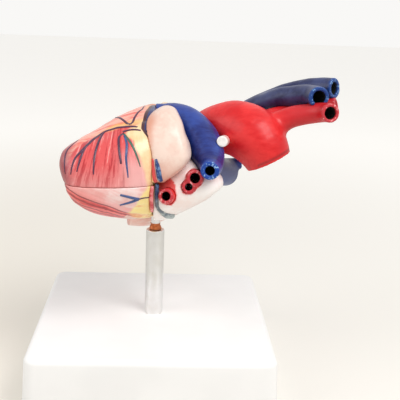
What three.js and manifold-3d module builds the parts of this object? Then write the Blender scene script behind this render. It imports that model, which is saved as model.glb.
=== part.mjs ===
// Life-size human heart model on a post and a square base, for teaching.
// Millimetres, +Z up, origin on the table under the post. The apex points to -X, the great
// vessels to +X, the left side of the heart to -Y, and its front wall upwards.

import * as THREE from 'three';
import { LoftGeometry } from 'three/addons/geometries/LoftGeometry.js';
import { mergeVertices } from 'three/addons/utils/BufferGeometryUtils.js';
import Module from 'manifold-3d';

const wasm = await Module();
wasm.setup();

// Fits
const GAP = 0.3; // between pieces that touch
const SLIP = 0.6; // added to a diameter so that a round piece enters its bore
const PAST = 6; // how far a cutting tool runs past the piece it cuts
const FAR_OFF = 200; // reach of the blocks that trim the heart

// Stand
const BASE_SIDE = 150; // across the top face
const BASE_HEIGHT = 36;
const BASE_WALL = 3;
const BASE_DRAFT = 0.044; // sideways growth per millimetre of depth
const BASE_CORNER = 8;
const BASE_EDGE = 4; // rounding of the top edge
const PLATE_THICKNESS = 3;
const SCREW_INSET = 14; // corner screw axis to the top face's edge
const SCREW_DIAMETER = 3;
const SCREW_LENGTH = 15;
const SCREW_HEAD_DIAMETER = 6.4;
const SCREW_HEAD_HEIGHT = 1.5;
const SCREW_BOSS_DIAMETER = 9;
const POST_BOSS_DIAMETER = 26;
const SOCKET_FLOOR = 8; // thickness of the boss under the post's foot

// Post, its fixing and the swivel pin
const POST_DIAMETER = 12;
const POST_HEIGHT = 58; // above the base
const POST_CHAMFER = 0.7;
const FIXING_DIAMETER = 6;
const FIXING_REACH = 16; // length of fixing screw inside the post
const FIXING_HEAD_DIAMETER = 10;
const FIXING_HEAD_HEIGHT = 3.4;
const WASHER_DIAMETER = 16;
const WASHER_THICKNESS = 1.4;
const PIN_DIAMETER = 6;
const PIN_IN_POST = 25;
const PIN_IN_HEART = 11.5;
const COLLAR_DIAMETER = 9.2;
const COLLAR_HEIGHT = 4;
const COLLAR_LIP = 0.6; // flat round the collar's bore

// Heart, measured from the top of the post
const BASE_PLANE = - 1.5; // X of the ventricles' flat back, where atria and arteries start
const SEAM = 40; // height of the cut between the rear half and the front wall
const SEPTUM = 10.5; // Y of the wall between the atria
const ATRIUM_WALL = 3.5;
const ARTERY_WALL = 3;
const TRUNK_WALL = 2.6; // of the pulmonary trunk and its branches
const VEIN_WALL = 2.4;
const SOCKET_BOSS_DIAMETER = 14;
const SOCKET_FOOT = 10.4; // height of the boss's lower face
const BUSH_DIAMETER = 10;
const BUSH_END = 1.7; // closed end above the pin
const VALVE_BORE = 21; // between each atrium and its ventricle
const VALVE_DEPTH = 4; // length of a valve's ring along the flow
const LEAFLET_LENGTH = 8;
const LEAFLET_THICKNESS = 1;
const LEAFLET_TIP = 5; // radius left open by the leaflets of an atrial valve
const CUSP_LENGTH = 3; // leaflets of the two arterial valves
const CUSP_TIP = 2;
const MAGNET_DIAMETER = 6;
const MAGNET_THICKNESS = 3;
const PEG_DIAMETER = 4;
const PEG_LENGTH = 13;
const PEG_IN_WALL = 6; // how far a peg stands out of the seam
const CHORD_RADIUS = 0.7;

// Ventricles: X, then the nearest and farthest Y, then the lowest and highest Z
const VENTRICLES = [
	[ - 56.4, - 40.8, - 33, 47.6, 54.2 ],
	[ - 55.4, - 44.6, - 29, 44.6, 57.2 ],
	[ - 53.4, - 47.4, - 23.4, 38.4, 59.6 ],
	[ - 49.8, - 49.9, - 15, 28.6, 61.8 ],
	[ - 45, - 52, - 4.4, 23.6, 64.4 ],
	[ - 38, - 53.2, 9, 18.8, 67.6 ],
	[ - 29, - 53.2, 21, 15.2, 71.8 ],
	[ - 20, - 52, 33.5, 13, 76 ],
	[ - 12, - 50, 40.5, 11.4, 79.4 ],
	[ - 6.5, - 47.6, 43, 11.2, 81.2 ],
	[ - 3, - 45.4, 44.6, 11.6, 81.6 ],
	[ BASE_PLANE, - 43.6, 44.4, 12.4, 81.2 ]
];
const LEFT_CHAMBER = [
	[ - 45, - 36, - 28, 37.5, 46 ],
	[ - 41.4, - 40, - 24, 31.5, 52 ],
	[ - 36, - 42, - 19, 26.5, 57 ],
	[ - 26, - 42, - 15, 22.5, 61 ],
	[ - 15, - 40, - 14, 19.6, 60 ],
	[ - 6, - 36, - 16, 22, 54 ]
];
const RIGHT_CHAMBER = [
	[ - 38, - 3.5, 3, 34, 47 ],
	[ - 31, - 4, 14, 27, 56 ],
	[ - 24, - 3, 22, 21.5, 62 ],
	[ - 17.5, 2, 28, 19, 64 ],
	[ - 13, 6, 28, 20, 56 ]
];
const LEFT_ATRIUM = [
	[ BASE_PLANE + GAP, - 38.5, 16, 11.6, 44 ],
	[ 4, - 41, 18, 12, 47 ],
	[ 12, - 43, 20, 15.4, 49 ],
	[ 21, - 43.6, 20, 20.4, 49.4 ],
	[ 30, - 40, 18, 25.4, 47.5 ],
	[ 36.6, - 32, 13, 30.2, 43.5 ],
	[ 40.6, - 23, 6, 33, 39.5 ],
	[ 42, - 16, 0, 34.6, 37.4 ]
];
const RIGHT_ATRIUM = [
	[ BASE_PLANE + GAP, 4, 46, 10, 54 ],
	[ 5, 3, 51.5, 7.5, 58 ],
	[ 12, 3, 53.6, 6.5, 60 ],
	[ 19, 4, 53, 10, 58.6 ],
	[ 25, 10, 48, 17, 52 ],
	[ 28, 17, 41, 25, 43 ],
	[ 29, 22, 36, 30, 38 ]
];
const RIGHT_AURICLE = [
	[ BASE_PLANE + GAP, 28, 39, 52, 74 ],
	[ 3, 27, 43, 48, 78.5 ],
	[ 9, 28, 44, 48, 77 ],
	[ 14, 31, 42, 52, 70 ],
	[ 16, 34, 38, 57, 63 ]
];

// Left auricle: its shield outline as X and Z, and the form of its face
const AURICLE_OUTLINE = [
	[ 5, 43.2 ], [ 9.4, 45.4 ], [ 13.8, 48.2 ], [ 17.8, 51.8 ], [ 20.4, 57 ], [ 19.6, 62 ],
	[ 17.2, 69 ], [ 14.4, 76.4 ], [ 10.2, 82.2 ], [ 3.4, 83.6 ], [ - 3.8, 79.2 ],
	[ - 8, 72.4 ], [ - 7.8, 65 ], [ - 5.6, 58 ], [ - 4, 51 ], [ - 3.4, 43.8 ]
];
const AURICLE_EDGE = - 45.5; // Y of the rim at its lowest point
const AURICLE_FALL = 18.5; // how far the rim falls back at the top
const AURICLE_CROWN = 3.4; // rise of the face before the rim
const AURICLE_DEPTH = 13; // rim to back
const AURICLE_MIDDLE = [ 6.4, 64 ];
const AURICLE_LAYERS = [ // size against the outline, then how far behind the rim
	[ 0.45, - AURICLE_CROWN ], [ 0.78, - 0.8 * AURICLE_CROWN ], [ 0.95, - 0.35 * AURICLE_CROWN ],
	[ 1, 0.5 * AURICLE_CROWN ], [ 1, 0.8 * AURICLE_DEPTH ], [ 0.9, AURICLE_DEPTH ]
];

// Vessels: X, Y, Z of the centre and the outer radius, from the root to the cut end
const AORTA = [
	[ - 8, 2, 47, 12.5 ], [ - 1.5, 2, 47, 12.5 ], [ 5, 2, 47, 12.5 ], [ 13, 7, 50.4, 12.5 ],
	[ 22, 14.8, 55.8, 12.5 ], [ 32, 12.4, 62.6, 14.2 ], [ 43, 6.5, 67, 16.4 ], [ 53, 0.4, 67.6, 18 ],
	[ 61.3, - 6.2, 63.8, 18 ], [ 66.2, - 9.8, 58.2, 16.3 ], [ 69.4, - 10.6, 52.3, 14.6 ]
];
const NEAR_ARTERY = [
	[ 66, - 4, 60, 9 ], [ 73, - 4.4, 70, 8.4 ], [ 81, - 5.6, 76, 7 ], [ 90.5, - 8, 79.4, 6.4 ],
	[ 98, - 11.6, 81.2, 6.2 ], [ 103, - 16.6, 82.4, 6 ], [ 105, - 23, 83, 5.8 ]
];
const FAR_ARTERY = [
	[ 60, 6, 64, 8 ], [ 72, 7, 72.6, 7.4 ], [ 84, 9, 76.4, 6.4 ], [ 99, 8.6, 79.6, 6 ], [ 114.4, 3.4, 84, 5.5 ]
];
const PULMONARY_TRUNK = [
	[ - 8, 1, 71.2, 11 ], [ - 1.5, 1, 71.2, 11 ], [ 4, 1, 71.2, 11.2 ], [ 10, - 1, 71.6, 11.8 ],
	[ 18, - 5.6, 69.8, 12.1 ], [ 26, - 14, 63, 12.2 ], [ 31.6, - 25, 56, 10.8 ],
	[ 33.4, - 37, 51, 7.8 ], [ 31.8, - 50, 51.2, 5.4 ]
];
const RIGHT_PULMONARY = [
	[ 25, - 12, 60, 9 ], [ 31.5, - 4, 47, 9.2 ], [ 40, 8, 38.4, 9.2 ], [ 47, 20, 35, 9.2 ]
];
const UPPER_LOBE_BRANCH = [ [ 43, 13, 37.5, 5 ], [ 49.5, 17.6, 40, 4.4 ], [ 55.4, 20, 41.4, 4 ] ];
const SUPERIOR_CAVA = [
	[ 19, 34, 33, 8.5 ], [ 27, 36, 46, 8.5 ], [ 40, 36.4, 58.4, 8 ], [ 54, 32.4, 69.6, 8 ], [ 66, 28.6, 77.6, 7.8 ],
	[ 78, 27.4, 85, 6.9 ], [ 90, 23.4, 90, 6.9 ], [ 102, 16, 93.4, 6.8 ], [ 112.8, 6.4, 94.8, 6.6 ]
];
const NEAR_CAVA_BRANCH = [
	[ 62, 28.6, 75.2, 7.4 ], [ 70, 23, 81.4, 6.9 ], [ 78, 15.6, 86, 6.8 ], [ 88, 6.4, 89.2, 6.8 ],
	[ 94.8, - 1.2, 90.6, 6.8 ], [ 98, - 7.4, 91, 6.7 ], [ 99, - 14, 91.2, 6.5 ]
];
const INFERIOR_CAVA = [
	[ 13, 28, 18, 8.5 ], [ 5, 24.4, 9.4, 8.5 ], [ - 6, 20.4, 4.6, 8.4 ], [ - 19.4, 18.6, 4.4, 7.8 ]
];
const LEFT_SUPERIOR_UPPER_STUB = [
	[ 22.4, - 16, 35, 5.6 ], [ 22.6, - 30, 42, 5.6 ], [ 23.1, - 45, 45.4, 5.5 ]
];
const LEFT_SUPERIOR_LOWER_STUB = [
	[ 21.4, - 16, 32, 4.6 ], [ 20, - 30, 37.6, 4.6 ], [ 19.2, - 45, 39.7, 4.6 ]
];
const LEFT_INFERIOR_PULMONARY_VEIN = [
	[ 11, - 25, 29, 5.4 ], [ 8, - 38, 32.4, 5.3 ], [ 6, - 46.2, 34.3, 5.2 ]
];
const RIGHT_SUPERIOR_PULMONARY_VEIN = [
	[ 33, 0, 35.6, 4.9 ], [ 36.2, 12, 29.8, 4.7 ], [ 38.4, 21, 26.6, 4.6 ]
];
const RIGHT_INFERIOR_PULMONARY_VEIN = [
	[ 24, - 1, 29.8, 4.9 ], [ 28.2, 12, 23.4, 4.7 ], [ 30.4, 21, 21.4, 4.6 ]
];
const UPPER_BORE = [ [ 22.4, - 16, 35, 3.6 ], [ 22.6, - 30, 42, 3.6 ], [ 23.2, - 46, 45.6, 3.6 ] ];
const LOWER_BORE = [ [ 21.4, - 16, 32, 2.6 ], [ 20, - 30, 37.6, 2.6 ], [ 19.2, - 46, 39.8, 2.6 ] ];
const LIGAMENT = [ [ 42.6, - 10, 62.6, 3.3 ], [ 40.8, - 20, 63.4, 3.3 ], [ 39, - 31, 65.2, 3.3 ] ];
const CORONARY_SINUS = [
	[ - 1.5, - 43.4, 39.4, 1.3 ], [ - 1.6, - 41.8, 33.4, 1.2 ], [ - 0.8, - 38.9, 26.8, 1.2 ],
	[ 3, - 38.5, 22.6, 1.6 ], [ 7.4, - 36.2, 20.2, 2.3 ], [ 11, - 32.6, 19, 2.1 ]
];
const CIRCUMFLEX_ARTERY = [
	[ - 4.2, - 45.7, 39.4, 1.2 ], [ - 4.3, - 44, 33.4, 1.2 ],
	[ - 4, - 40.3, 26.8, 1.2 ], [ - 3.2, - 35.9, 22, 1.1 ]
];
const LEFT_OUTFLOW = [
	[ - 17, - 24, 44, 8.5 ], [ - 9, - 11, 45.4, 8.6 ], [ - 4, - 1.4, 46.8, 9 ], [ 0, 2, 47, 9.3 ]
];
const RIGHT_OUTFLOW = [ [ - 20, 11, 53, 8 ], [ - 11, 6, 64, 8 ], [ - 4, 1.6, 70.4, 8 ], [ 0, 1, 71.2, 8 ] ];

// Valves: Y and Z of the axis
const MITRAL = [ - 22, 29.4 ];
const TRICUSPID = [ 21, 28.5 ];

// Papillary muscles, root to tip, with the Y and Z where each pair of chords meets a valve
const PAPILLARY_MUSCLES = [
	{
		name: 'papillary_muscle_left_near',
		belly: [
			[ - 42, - 36.6, 31, 3.8 ], [ - 36, - 35.4, 30, 3.6 ], [ - 29, - 32.4, 29, 2.6 ], [ - 25, - 30, 28.6, 1.4 ]
		],
		chords: [ [ - 26.2, 32.3 ], [ - 26, 25.9 ] ]
	},
	{
		name: 'papillary_muscle_left_far',
		belly: [
			[ - 41, - 26, 31, 3.8 ], [ - 35, - 23.4, 30, 3.4 ], [ - 29, - 21, 29, 2.5 ], [ - 25, - 20.6, 28.6, 1.4 ]
		],
		chords: [ [ - 18, 32.3 ], [ - 18, 26.3 ] ]
	},
	{
		name: 'papillary_muscle_right_near',
		belly: [
			[ - 37, 1, 36, 3.6 ], [ - 31, 4.4, 34, 3 ], [ - 25, 9.6, 31, 2.2 ], [ - 21.4, 13.6, 29.4, 1.3 ]
		],
		chords: [ [ 17, 31.4 ], [ 17, 25.2 ] ]
	},
	{
		name: 'papillary_muscle_right_far',
		belly: [
			[ - 28.4, 13.4, 29.4, 3.2 ], [ - 25, 16.2, 29.8, 2.3 ], [ - 21.4, 18.4, 29.8, 1.3 ]
		],
		chords: [ [ 25, 31.4 ], [ 24.4, 25.6 ] ]
	}
];

// Magnets and pegs: X and Y of each axis in the seam
const MAGNETS = [
	{ name: 'near', x: - 28, y: - 47.4 },
	{ name: 'apex', x: - 48, y: - 42.4 },
	{ name: 'septum', x: - 30, y: - 9.5 },
	{ name: 'far', x: - 12, y: 33 }
];
const PEGS = [ { name: 'apex', x: - 46.6, y: - 22.4 }, { name: 'far', x: - 6.6, y: 36.6 } ];

// Faceting
const ROUND_SIDES = 20;
const SMALL_SIDES = 10;
const OVAL_SIDES = 24;
const CHAMBER_SIDES = 16;
const VESSEL_SIDES = 14;
const THIN_SIDES = 8;
const CHORD_SIDES = 5;
const CORNER_STEPS = 4;
const OVAL_FULLNESS = 2.25; // 2 is an ellipse, more is squarer
const QUARTER_TURN = 90; // degrees

const POST_TOP = BASE_HEIGHT + POST_HEIGHT;

// Finishes
function finish( color, roughness, metalness = 0 ) {

	return new THREE.MeshStandardMaterial( { color, roughness, metalness } );

}

const WHITE_PLASTIC = finish( 0xf4f4f2, 0.6 );
const CHROME = finish( 0xc9ccd0, 0.15, 1 );
const STEEL = finish( 0x9da1a6, 0.35, 1 );
const BRASS = finish( 0xb87842, 0.4, 0.9 );
const MUSCLE = finish( 0xe8746c, 0.45 );
const CHAMBER_PINK = finish( 0xe9a49a, 0.5 );
const CREAM = finish( 0xf6e0d4, 0.5 );
const ARTERY_RED = finish( 0xd8353a, 0.4 );
const VEIN_BLUE = finish( 0x2b3f8c, 0.35 );
const NYLON = finish( 0xe6e2d6, 0.5 );

// A closed solid from a closed geometry, with its faces turned outwards
function solidOf( geometry ) {

	const bare = new THREE.BufferGeometry().copy( geometry );
	bare.deleteAttribute( 'normal' );
	bare.deleteAttribute( 'uv' );
	const merged = mergeVertices( bare );
	const corners = merged.index.array;
	const facing = [];
	const turned = [];

	for ( let i = 0; i < corners.length; i += 3 ) {

		const [ a, b, c ] = corners.slice( i, i + 3 );
		if ( a === b || b === c || c === a ) continue;
		facing.push( a, b, c );
		turned.push( a, c, b );

	}

	const build = ( triangles ) => new wasm.Manifold( new wasm.Mesh( {
		numProp: 3,
		vertProperties: new Float32Array( merged.attributes.position.array ),
		triVerts: new Uint32Array( triangles )
	} ) );
	const solid = build( facing );

	return solid.volume() > 0 ? solid : build( turned );

}

// A mesh of a solid
function pieceOf( name, solid, material ) {

	const mesh = solid.getMesh();
	const geometry = new THREE.BufferGeometry();
	geometry.setAttribute( 'position', new THREE.Float32BufferAttribute( mesh.vertProperties, 3 ) );
	geometry.setIndex( new THREE.Uint32BufferAttribute( mesh.triVerts, 1 ) );
	geometry.computeVertexNormals();

	const piece = new THREE.Mesh( geometry, material );
	piece.name = name;

	return piece;

}

// An upright round bar
function bar( diameter, low, high, x = 0, y = 0, sides = ROUND_SIDES ) {

	const geometry = new THREE.CylinderGeometry( diameter / 2, diameter / 2, high - low, sides );

	return solidOf( geometry.rotateX( Math.PI / 2 ).translate( x, y, ( low + high ) / 2 ) );

}

// A round bar along X
function crossBar( diameter, left, right, y, z, sides = ROUND_SIDES ) {

	const geometry = new THREE.CylinderGeometry( diameter / 2, diameter / 2, right - left, sides );

	return solidOf( geometry.rotateZ( Math.PI / 2 ).translate( ( left + right ) / 2, y, z ) );

}

// A block between two corners
function block( low, high ) {

	const from = new THREE.Vector3( ...low );
	const to = new THREE.Vector3( ...high );
	const size = to.clone().sub( from );
	const middle = from.clone().add( to ).multiplyScalar( 0.5 );
	const geometry = new THREE.BoxGeometry( size.x, size.y, size.z );

	return solidOf( geometry.translate( middle.x, middle.y, middle.z ) );

}

// A turned piece about Z from its half profile of radius and height
function turning( profile, sides = ROUND_SIDES ) {

	const points = profile.map( ( [ radius, height ] ) => new THREE.Vector2( radius, height ) );

	return solidOf( new THREE.LatheGeometry( points, sides ).rotateX( Math.PI / 2 ) );

}

// A solid skinned over rings of points, each end closed by a fan to its middle
function skin( rings ) {

	const shut = ( ring ) => {

		const middle = ring.reduce( ( sum, point ) => sum.add( point ), new THREE.Vector3() );
		middle.divideScalar( ring.length );

		return ring.map( () => middle );

	};

	return solidOf( new LoftGeometry( [ shut( rings[ 0 ] ), ...rings, shut( rings[ rings.length - 1 ] ) ] ) );

}

// A level ring of a square with rounded corners
function squareRing( halfSide, corner, height ) {

	const ring = [];

	for ( let quarter = 0; quarter < 4; quarter ++ ) {

		for ( let step = 0; step <= CORNER_STEPS; step ++ ) {

			const turn = ( quarter + step / CORNER_STEPS ) * Math.PI / 2;
			const middle = ( quarter + 0.5 ) * Math.PI / 2;
			const reach = ( halfSide - corner ) * Math.SQRT2;
			ring.push( new THREE.Vector3(
				Math.cos( middle ) * reach + Math.cos( turn ) * corner,
				Math.sin( middle ) * reach + Math.sin( turn ) * corner,
				height
			) );

		}

	}

	return ring;

}

// An oval form along X from its stations, swollen by grow and moved along X by shift
function ovalForm( stations, options = {} ) {

	const { grow = 0, shift = 0, startPast = 0, endPast = 0, sides = OVAL_SIDES } = options;
	const soften = ( value ) => Math.sign( value ) * Math.pow( Math.abs( value ), 2 / OVAL_FULLNESS );
	const half = ( from, to ) => Math.max( ( to - from ) / 2 + grow, GAP );
	const last = stations.length - 1;

	const rings = stations.map( ( [ x, near, far, low, high ], index ) => {

		const along = x + shift - ( index === 0 ? startPast : 0 ) + ( index === last ? endPast : 0 );
		const ring = [];

		for ( let i = 0; i < sides; i ++ ) {

			const turn = 2 * Math.PI * i / sides;
			const y = ( near + far ) / 2 + soften( Math.cos( turn ) ) * half( near, far );
			const z = ( low + high ) / 2 + soften( Math.sin( turn ) ) * half( low, high );
			ring.push( new THREE.Vector3( along, y, z ) );

		}

		return ring;

	} );

	return skin( rings );

}

// A round rod of changing radius along a smooth curve through its stations
function rod( stations, { grow = 0, past = 0, sides = VESSEL_SIDES } = {} ) {

	const centres = stations.map( ( [ x, y, z ] ) => new THREE.Vector3( x, y, z ) );
	const curve = new THREE.CatmullRomCurve3( centres );
	const spans = stations.length - 1;
	const rings = [];
	const side = new THREE.Vector3( 0, 0, 1 );

	const addRing = ( centre, tangent, radius ) => {

		const across = new THREE.Vector3().crossVectors( tangent, side );
		const ring = [];

		for ( let i = 0; i < sides; i ++ ) {

			const turn = 2 * Math.PI * i / sides;
			const spoke = side.clone().multiplyScalar( Math.cos( turn ) * radius );
			ring.push( centre.clone().add( spoke ).addScaledVector( across, Math.sin( turn ) * radius ) );

		}

		rings.push( ring );

	};

	stations.forEach( ( [ , , , stationRadius ], index ) => {

		const radius = stationRadius + grow;
		const centre = curve.getPoint( index / spans );
		const tangent = curve.getTangent( index / spans );
		side.addScaledVector( tangent, - side.dot( tangent ) ).normalize();

		const before = centre.clone().addScaledVector( tangent, - past );
		const after = centre.clone().addScaledVector( tangent, past );

		if ( index === 0 && past > 0 ) addRing( before, tangent, radius );
		addRing( centre, tangent, radius );
		if ( index === spans && past > 0 ) addRing( after, tangent, radius );

	} );

	return skin( rings );

}

// Several rods of one vessel as a single solid
function rods( routes, options ) {

	const solids = routes.map( ( route ) => rod( route, options ) );

	return solids.reduce( ( joined, solid ) => joined.add( solid ) );

}

// A vessel's outside, its bore, and the cutter that leaves a gap round it
function vessel( routes, wall, sides = VESSEL_SIDES ) {

	return {
		outside: rods( routes, { sides } ),
		bore: rods( routes, { grow: - wall, past: PAST, sides } ),
		cutter: rods( routes, { grow: GAP, past: PAST, sides } )
	};

}

function without( solid, cutters ) {

	return cutters.reduce( ( left, cutter ) => left.subtract( cutter ), solid );

}

// The base: a moulded box open below, with a socket boss and four screw bosses
const stand = new THREE.Group();
const screwOffset = BASE_SIDE / 2 - SCREW_INSET;
const corners = [ [ 1, 1 ], [ - 1, 1 ], [ - 1, - 1 ], [ 1, - 1 ] ];
const screwPlaces = corners.map( ( [ x, y ] ) => [ x * screwOffset, y * screwOffset ] );
const innerTop = BASE_HEIGHT - BASE_WALL;
const fixingSeat = PLATE_THICKNESS + GAP + FIXING_HEAD_HEIGHT;
const washerTop = fixingSeat + GAP + WASHER_THICKNESS;
const postBossFoot = washerTop + GAP;
const postSeat = postBossFoot + SOCKET_FLOOR;
const innerCorner = BASE_CORNER - BASE_WALL;
const screwHeadSeat = GAP + SCREW_HEAD_HEIGHT;

function halfSideAt( height ) {

	return BASE_SIDE / 2 + ( BASE_HEIGHT - height ) * BASE_DRAFT;

}

function baseShell() {

	const edgeStart = BASE_HEIGHT - BASE_EDGE;
	const rings = [ squareRing( halfSideAt( 0 ), BASE_CORNER, 0 ) ];

	for ( let step = 0; step <= CORNER_STEPS; step ++ ) {

		const turn = step / CORNER_STEPS * Math.PI / 2;
		const inset = BASE_EDGE * ( 1 - Math.cos( turn ) );
		const height = edgeStart + BASE_EDGE * Math.sin( turn );
		rings.push( squareRing( halfSideAt( edgeStart ) - inset, BASE_CORNER - inset, height ) );

	}

	const room = skin( [
		squareRing( halfSideAt( 0 ) - BASE_WALL, innerCorner, 0 ).map( ( point ) => point.setZ( - PAST ) ),
		squareRing( halfSideAt( 0 ) - BASE_WALL, innerCorner, 0 ),
		squareRing( halfSideAt( innerTop ) - BASE_WALL, innerCorner, innerTop )
	] );
	const screwBosses = screwPlaces.map( ( [ x, y ] ) => bar(
		SCREW_BOSS_DIAMETER, PLATE_THICKNESS + GAP, BASE_HEIGHT - BASE_WALL / 2, x, y, SMALL_SIDES
	) );
	const screwHoles = screwPlaces.map( ( [ x, y ] ) => bar(
		SCREW_DIAMETER + SLIP, 0, screwHeadSeat + SCREW_LENGTH + GAP, x, y, SMALL_SIDES
	) );
	const postBoss = bar( POST_BOSS_DIAMETER, postBossFoot, BASE_HEIGHT - BASE_WALL / 2 );
	const socket = bar( POST_DIAMETER + SLIP, postSeat, BASE_HEIGHT + PAST );
	const fixingHole = bar( FIXING_DIAMETER + SLIP, 0, postSeat + PAST );
	const bossed = without( skin( rings ), [ without( room, [ ...screwBosses, postBoss ] ) ] );

	return without( bossed, [ ...screwHoles, socket, fixingHole ] );

}

function basePlate() {

	const half = halfSideAt( PLATE_THICKNESS ) - BASE_WALL - GAP;
	const plate = skin( [
		squareRing( half, innerCorner - GAP, 0 ),
		squareRing( half, innerCorner - GAP, PLATE_THICKNESS )
	] );
	const holes = screwPlaces.map( ( [ x, y ] ) => bar(
		SCREW_DIAMETER + SLIP, - PAST, PLATE_THICKNESS + PAST, x, y, SMALL_SIDES
	) );
	const sinks = screwPlaces.map( ( [ x, y ] ) => bar(
		SCREW_HEAD_DIAMETER + SLIP, - PAST, screwHeadSeat + GAP, x, y, SMALL_SIDES
	) );

	return without( plate, [ ...holes, ...sinks ] );

}

function baseScrew() {

	const head = bar( SCREW_HEAD_DIAMETER, GAP, screwHeadSeat, 0, 0, SMALL_SIDES );
	const shank = bar( SCREW_DIAMETER, screwHeadSeat - GAP, screwHeadSeat + SCREW_LENGTH, 0, 0, SMALL_SIDES );

	return head.add( shank );

}

stand.add( pieceOf( 'base_shell', baseShell(), WHITE_PLASTIC ) );
stand.add( pieceOf( 'base_plate', basePlate(), WHITE_PLASTIC ) );
screwPlaces.forEach( ( [ x, y ], index ) => {

	const screw = pieceOf( `base_screw_${ index + 1 }`, baseScrew(), STEEL );
	screw.position.set( x, y, 0 );
	stand.add( screw );

} );

// The chromed post, drawn down into its socket by a screw and washer under the boss
const postFoot = postSeat + GAP;

function post() {

	const radius = POST_DIAMETER / 2;
	const fixingBore = ( FIXING_DIAMETER + SLIP ) / 2;
	const pinBore = ( PIN_DIAMETER + SLIP ) / 2;
	const fixingBoreTop = postFoot + FIXING_REACH + GAP;
	const pinBoreFoot = POST_TOP - PIN_IN_POST - GAP;

	return turning( [
		[ 0, fixingBoreTop ], [ fixingBore, fixingBoreTop ], [ fixingBore, postFoot ],
		[ radius, postFoot ], [ radius, POST_TOP - POST_CHAMFER ], [ radius - POST_CHAMFER, POST_TOP ],
		[ pinBore, POST_TOP ], [ pinBore, pinBoreFoot ], [ 0, pinBoreFoot ]
	] );

}

function fixingScrew() {

	const head = bar( FIXING_HEAD_DIAMETER, fixingSeat - FIXING_HEAD_HEIGHT, fixingSeat );

	return head.add( bar( FIXING_DIAMETER, fixingSeat - GAP, postFoot + FIXING_REACH ) );

}

function fixingWasher() {

	const washer = bar( WASHER_DIAMETER, washerTop - WASHER_THICKNESS, washerTop );

	return washer.subtract( bar( FIXING_DIAMETER + SLIP, 0, postBossFoot ) );

}

stand.add( pieceOf( 'post', post(), CHROME ) );
stand.add( pieceOf( 'post_fixing_screw', fixingScrew(), STEEL ) );
stand.add( pieceOf( 'post_fixing_washer', fixingWasher(), STEEL ) );

// The swivel pin, loose in the post, with the collar that caps the post
const pin = new THREE.Group();
pin.position.z = POST_TOP;
const pinTop = SOCKET_FOOT + PIN_IN_HEART;

function collar() {

	const bore = ( PIN_DIAMETER + SLIP ) / 2;
	const crownEnd = Math.acos( ( bore + COLLAR_LIP ) / ( COLLAR_DIAMETER / 2 ) );
	const rise = COLLAR_HEIGHT / Math.sin( crownEnd );
	const crown = new THREE.EllipseCurve( 0, GAP, COLLAR_DIAMETER / 2, rise, 0, crownEnd );
	const profile = crown.getPoints( CORNER_STEPS ).map( ( point ) => [ point.x, point.y ] );
	const foot = [ bore, GAP ];

	return turning( [ foot, ...profile, [ bore, GAP + COLLAR_HEIGHT ], foot ] );

}

pin.add( pieceOf( 'post_pin', bar( PIN_DIAMETER, - PIN_IN_POST, pinTop ), CHROME ) );
pin.add( pieceOf( 'pin_collar', collar(), BRASS ) );

// Vessels of the heart
const aortaParts = vessel( [ AORTA, NEAR_ARTERY, FAR_ARTERY ], ARTERY_WALL );
const trunkParts = vessel( [ PULMONARY_TRUNK, RIGHT_PULMONARY, UPPER_LOBE_BRANCH ], TRUNK_WALL );
const superiorCava = vessel( [ SUPERIOR_CAVA, NEAR_CAVA_BRANCH ], VEIN_WALL );
const inferiorCava = vessel( [ INFERIOR_CAVA ], VEIN_WALL );
const pulmonaryVeins = [
	{
		name: 'left_superior_pulmonary_vein',
		routes: [ LEFT_SUPERIOR_UPPER_STUB, LEFT_SUPERIOR_LOWER_STUB ],
		bores: [ UPPER_BORE, LOWER_BORE ]
	},
	{ name: 'left_inferior_pulmonary_vein', routes: [ LEFT_INFERIOR_PULMONARY_VEIN ] },
	{ name: 'right_superior_pulmonary_vein', routes: [ RIGHT_SUPERIOR_PULMONARY_VEIN ] },
	{ name: 'right_inferior_pulmonary_vein', routes: [ RIGHT_INFERIOR_PULMONARY_VEIN ] }
].map( ( { name, routes, bores } ) => {

	const parts = vessel( routes, VEIN_WALL );

	return { name, ...parts, bore: bores ? rods( bores, { past: PAST, sides: SMALL_SIDES } ) : parts.bore };

} );
const sinusCutter = rod( CORONARY_SINUS, { grow: GAP, past: PAST, sides: THIN_SIDES } );
const circumflexCutter = rod( CIRCUMFLEX_ARTERY, { grow: GAP, past: PAST, sides: THIN_SIDES } );
const behindBasePlane = block( [ BASE_PLANE + GAP, - FAR_OFF, - FAR_OFF ], [ FAR_OFF, FAR_OFF, FAR_OFF ] );
const belowSeam = block( [ - FAR_OFF, - FAR_OFF, - FAR_OFF ], [ FAR_OFF, FAR_OFF, SEAM ] );
const aboveSeam = block( [ - FAR_OFF, - FAR_OFF, SEAM + GAP ], [ FAR_OFF, FAR_OFF, FAR_OFF ] );

const heart = new THREE.Group();
heart.position.z = POST_TOP;
const frontWall = new THREE.Group();
frontWall.position.z = POST_TOP;

const aorta = aortaParts.outside.subtract( aortaParts.bore ).intersect( behindBasePlane );
heart.add( pieceOf( 'aorta', aorta, ARTERY_RED ) );

const trunk = without( trunkParts.outside, [ trunkParts.bore, aortaParts.cutter ] );
heart.add( pieceOf( 'pulmonary_trunk', trunk.intersect( behindBasePlane ), VEIN_BLUE ) );

const cava = without( superiorCava.outside, [ superiorCava.bore, aortaParts.cutter, trunkParts.cutter ] );
heart.add( pieceOf( 'superior_vena_cava', cava, VEIN_BLUE ) );

heart.add( pieceOf( 'inferior_vena_cava', inferiorCava.outside.subtract( inferiorCava.bore ), VEIN_BLUE ) );

for ( const vein of pulmonaryVeins ) {

	heart.add( pieceOf( vein.name, without( vein.outside, [ vein.bore, trunkParts.cutter ] ), ARTERY_RED ) );

}

const ligament = rod( LIGAMENT, { sides: SMALL_SIDES } );
const ligamentEnds = [ aortaParts.cutter, trunkParts.cutter ];
heart.add( pieceOf( 'ligamentum_arteriosum', without( ligament, ligamentEnds ), CREAM ) );

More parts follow.
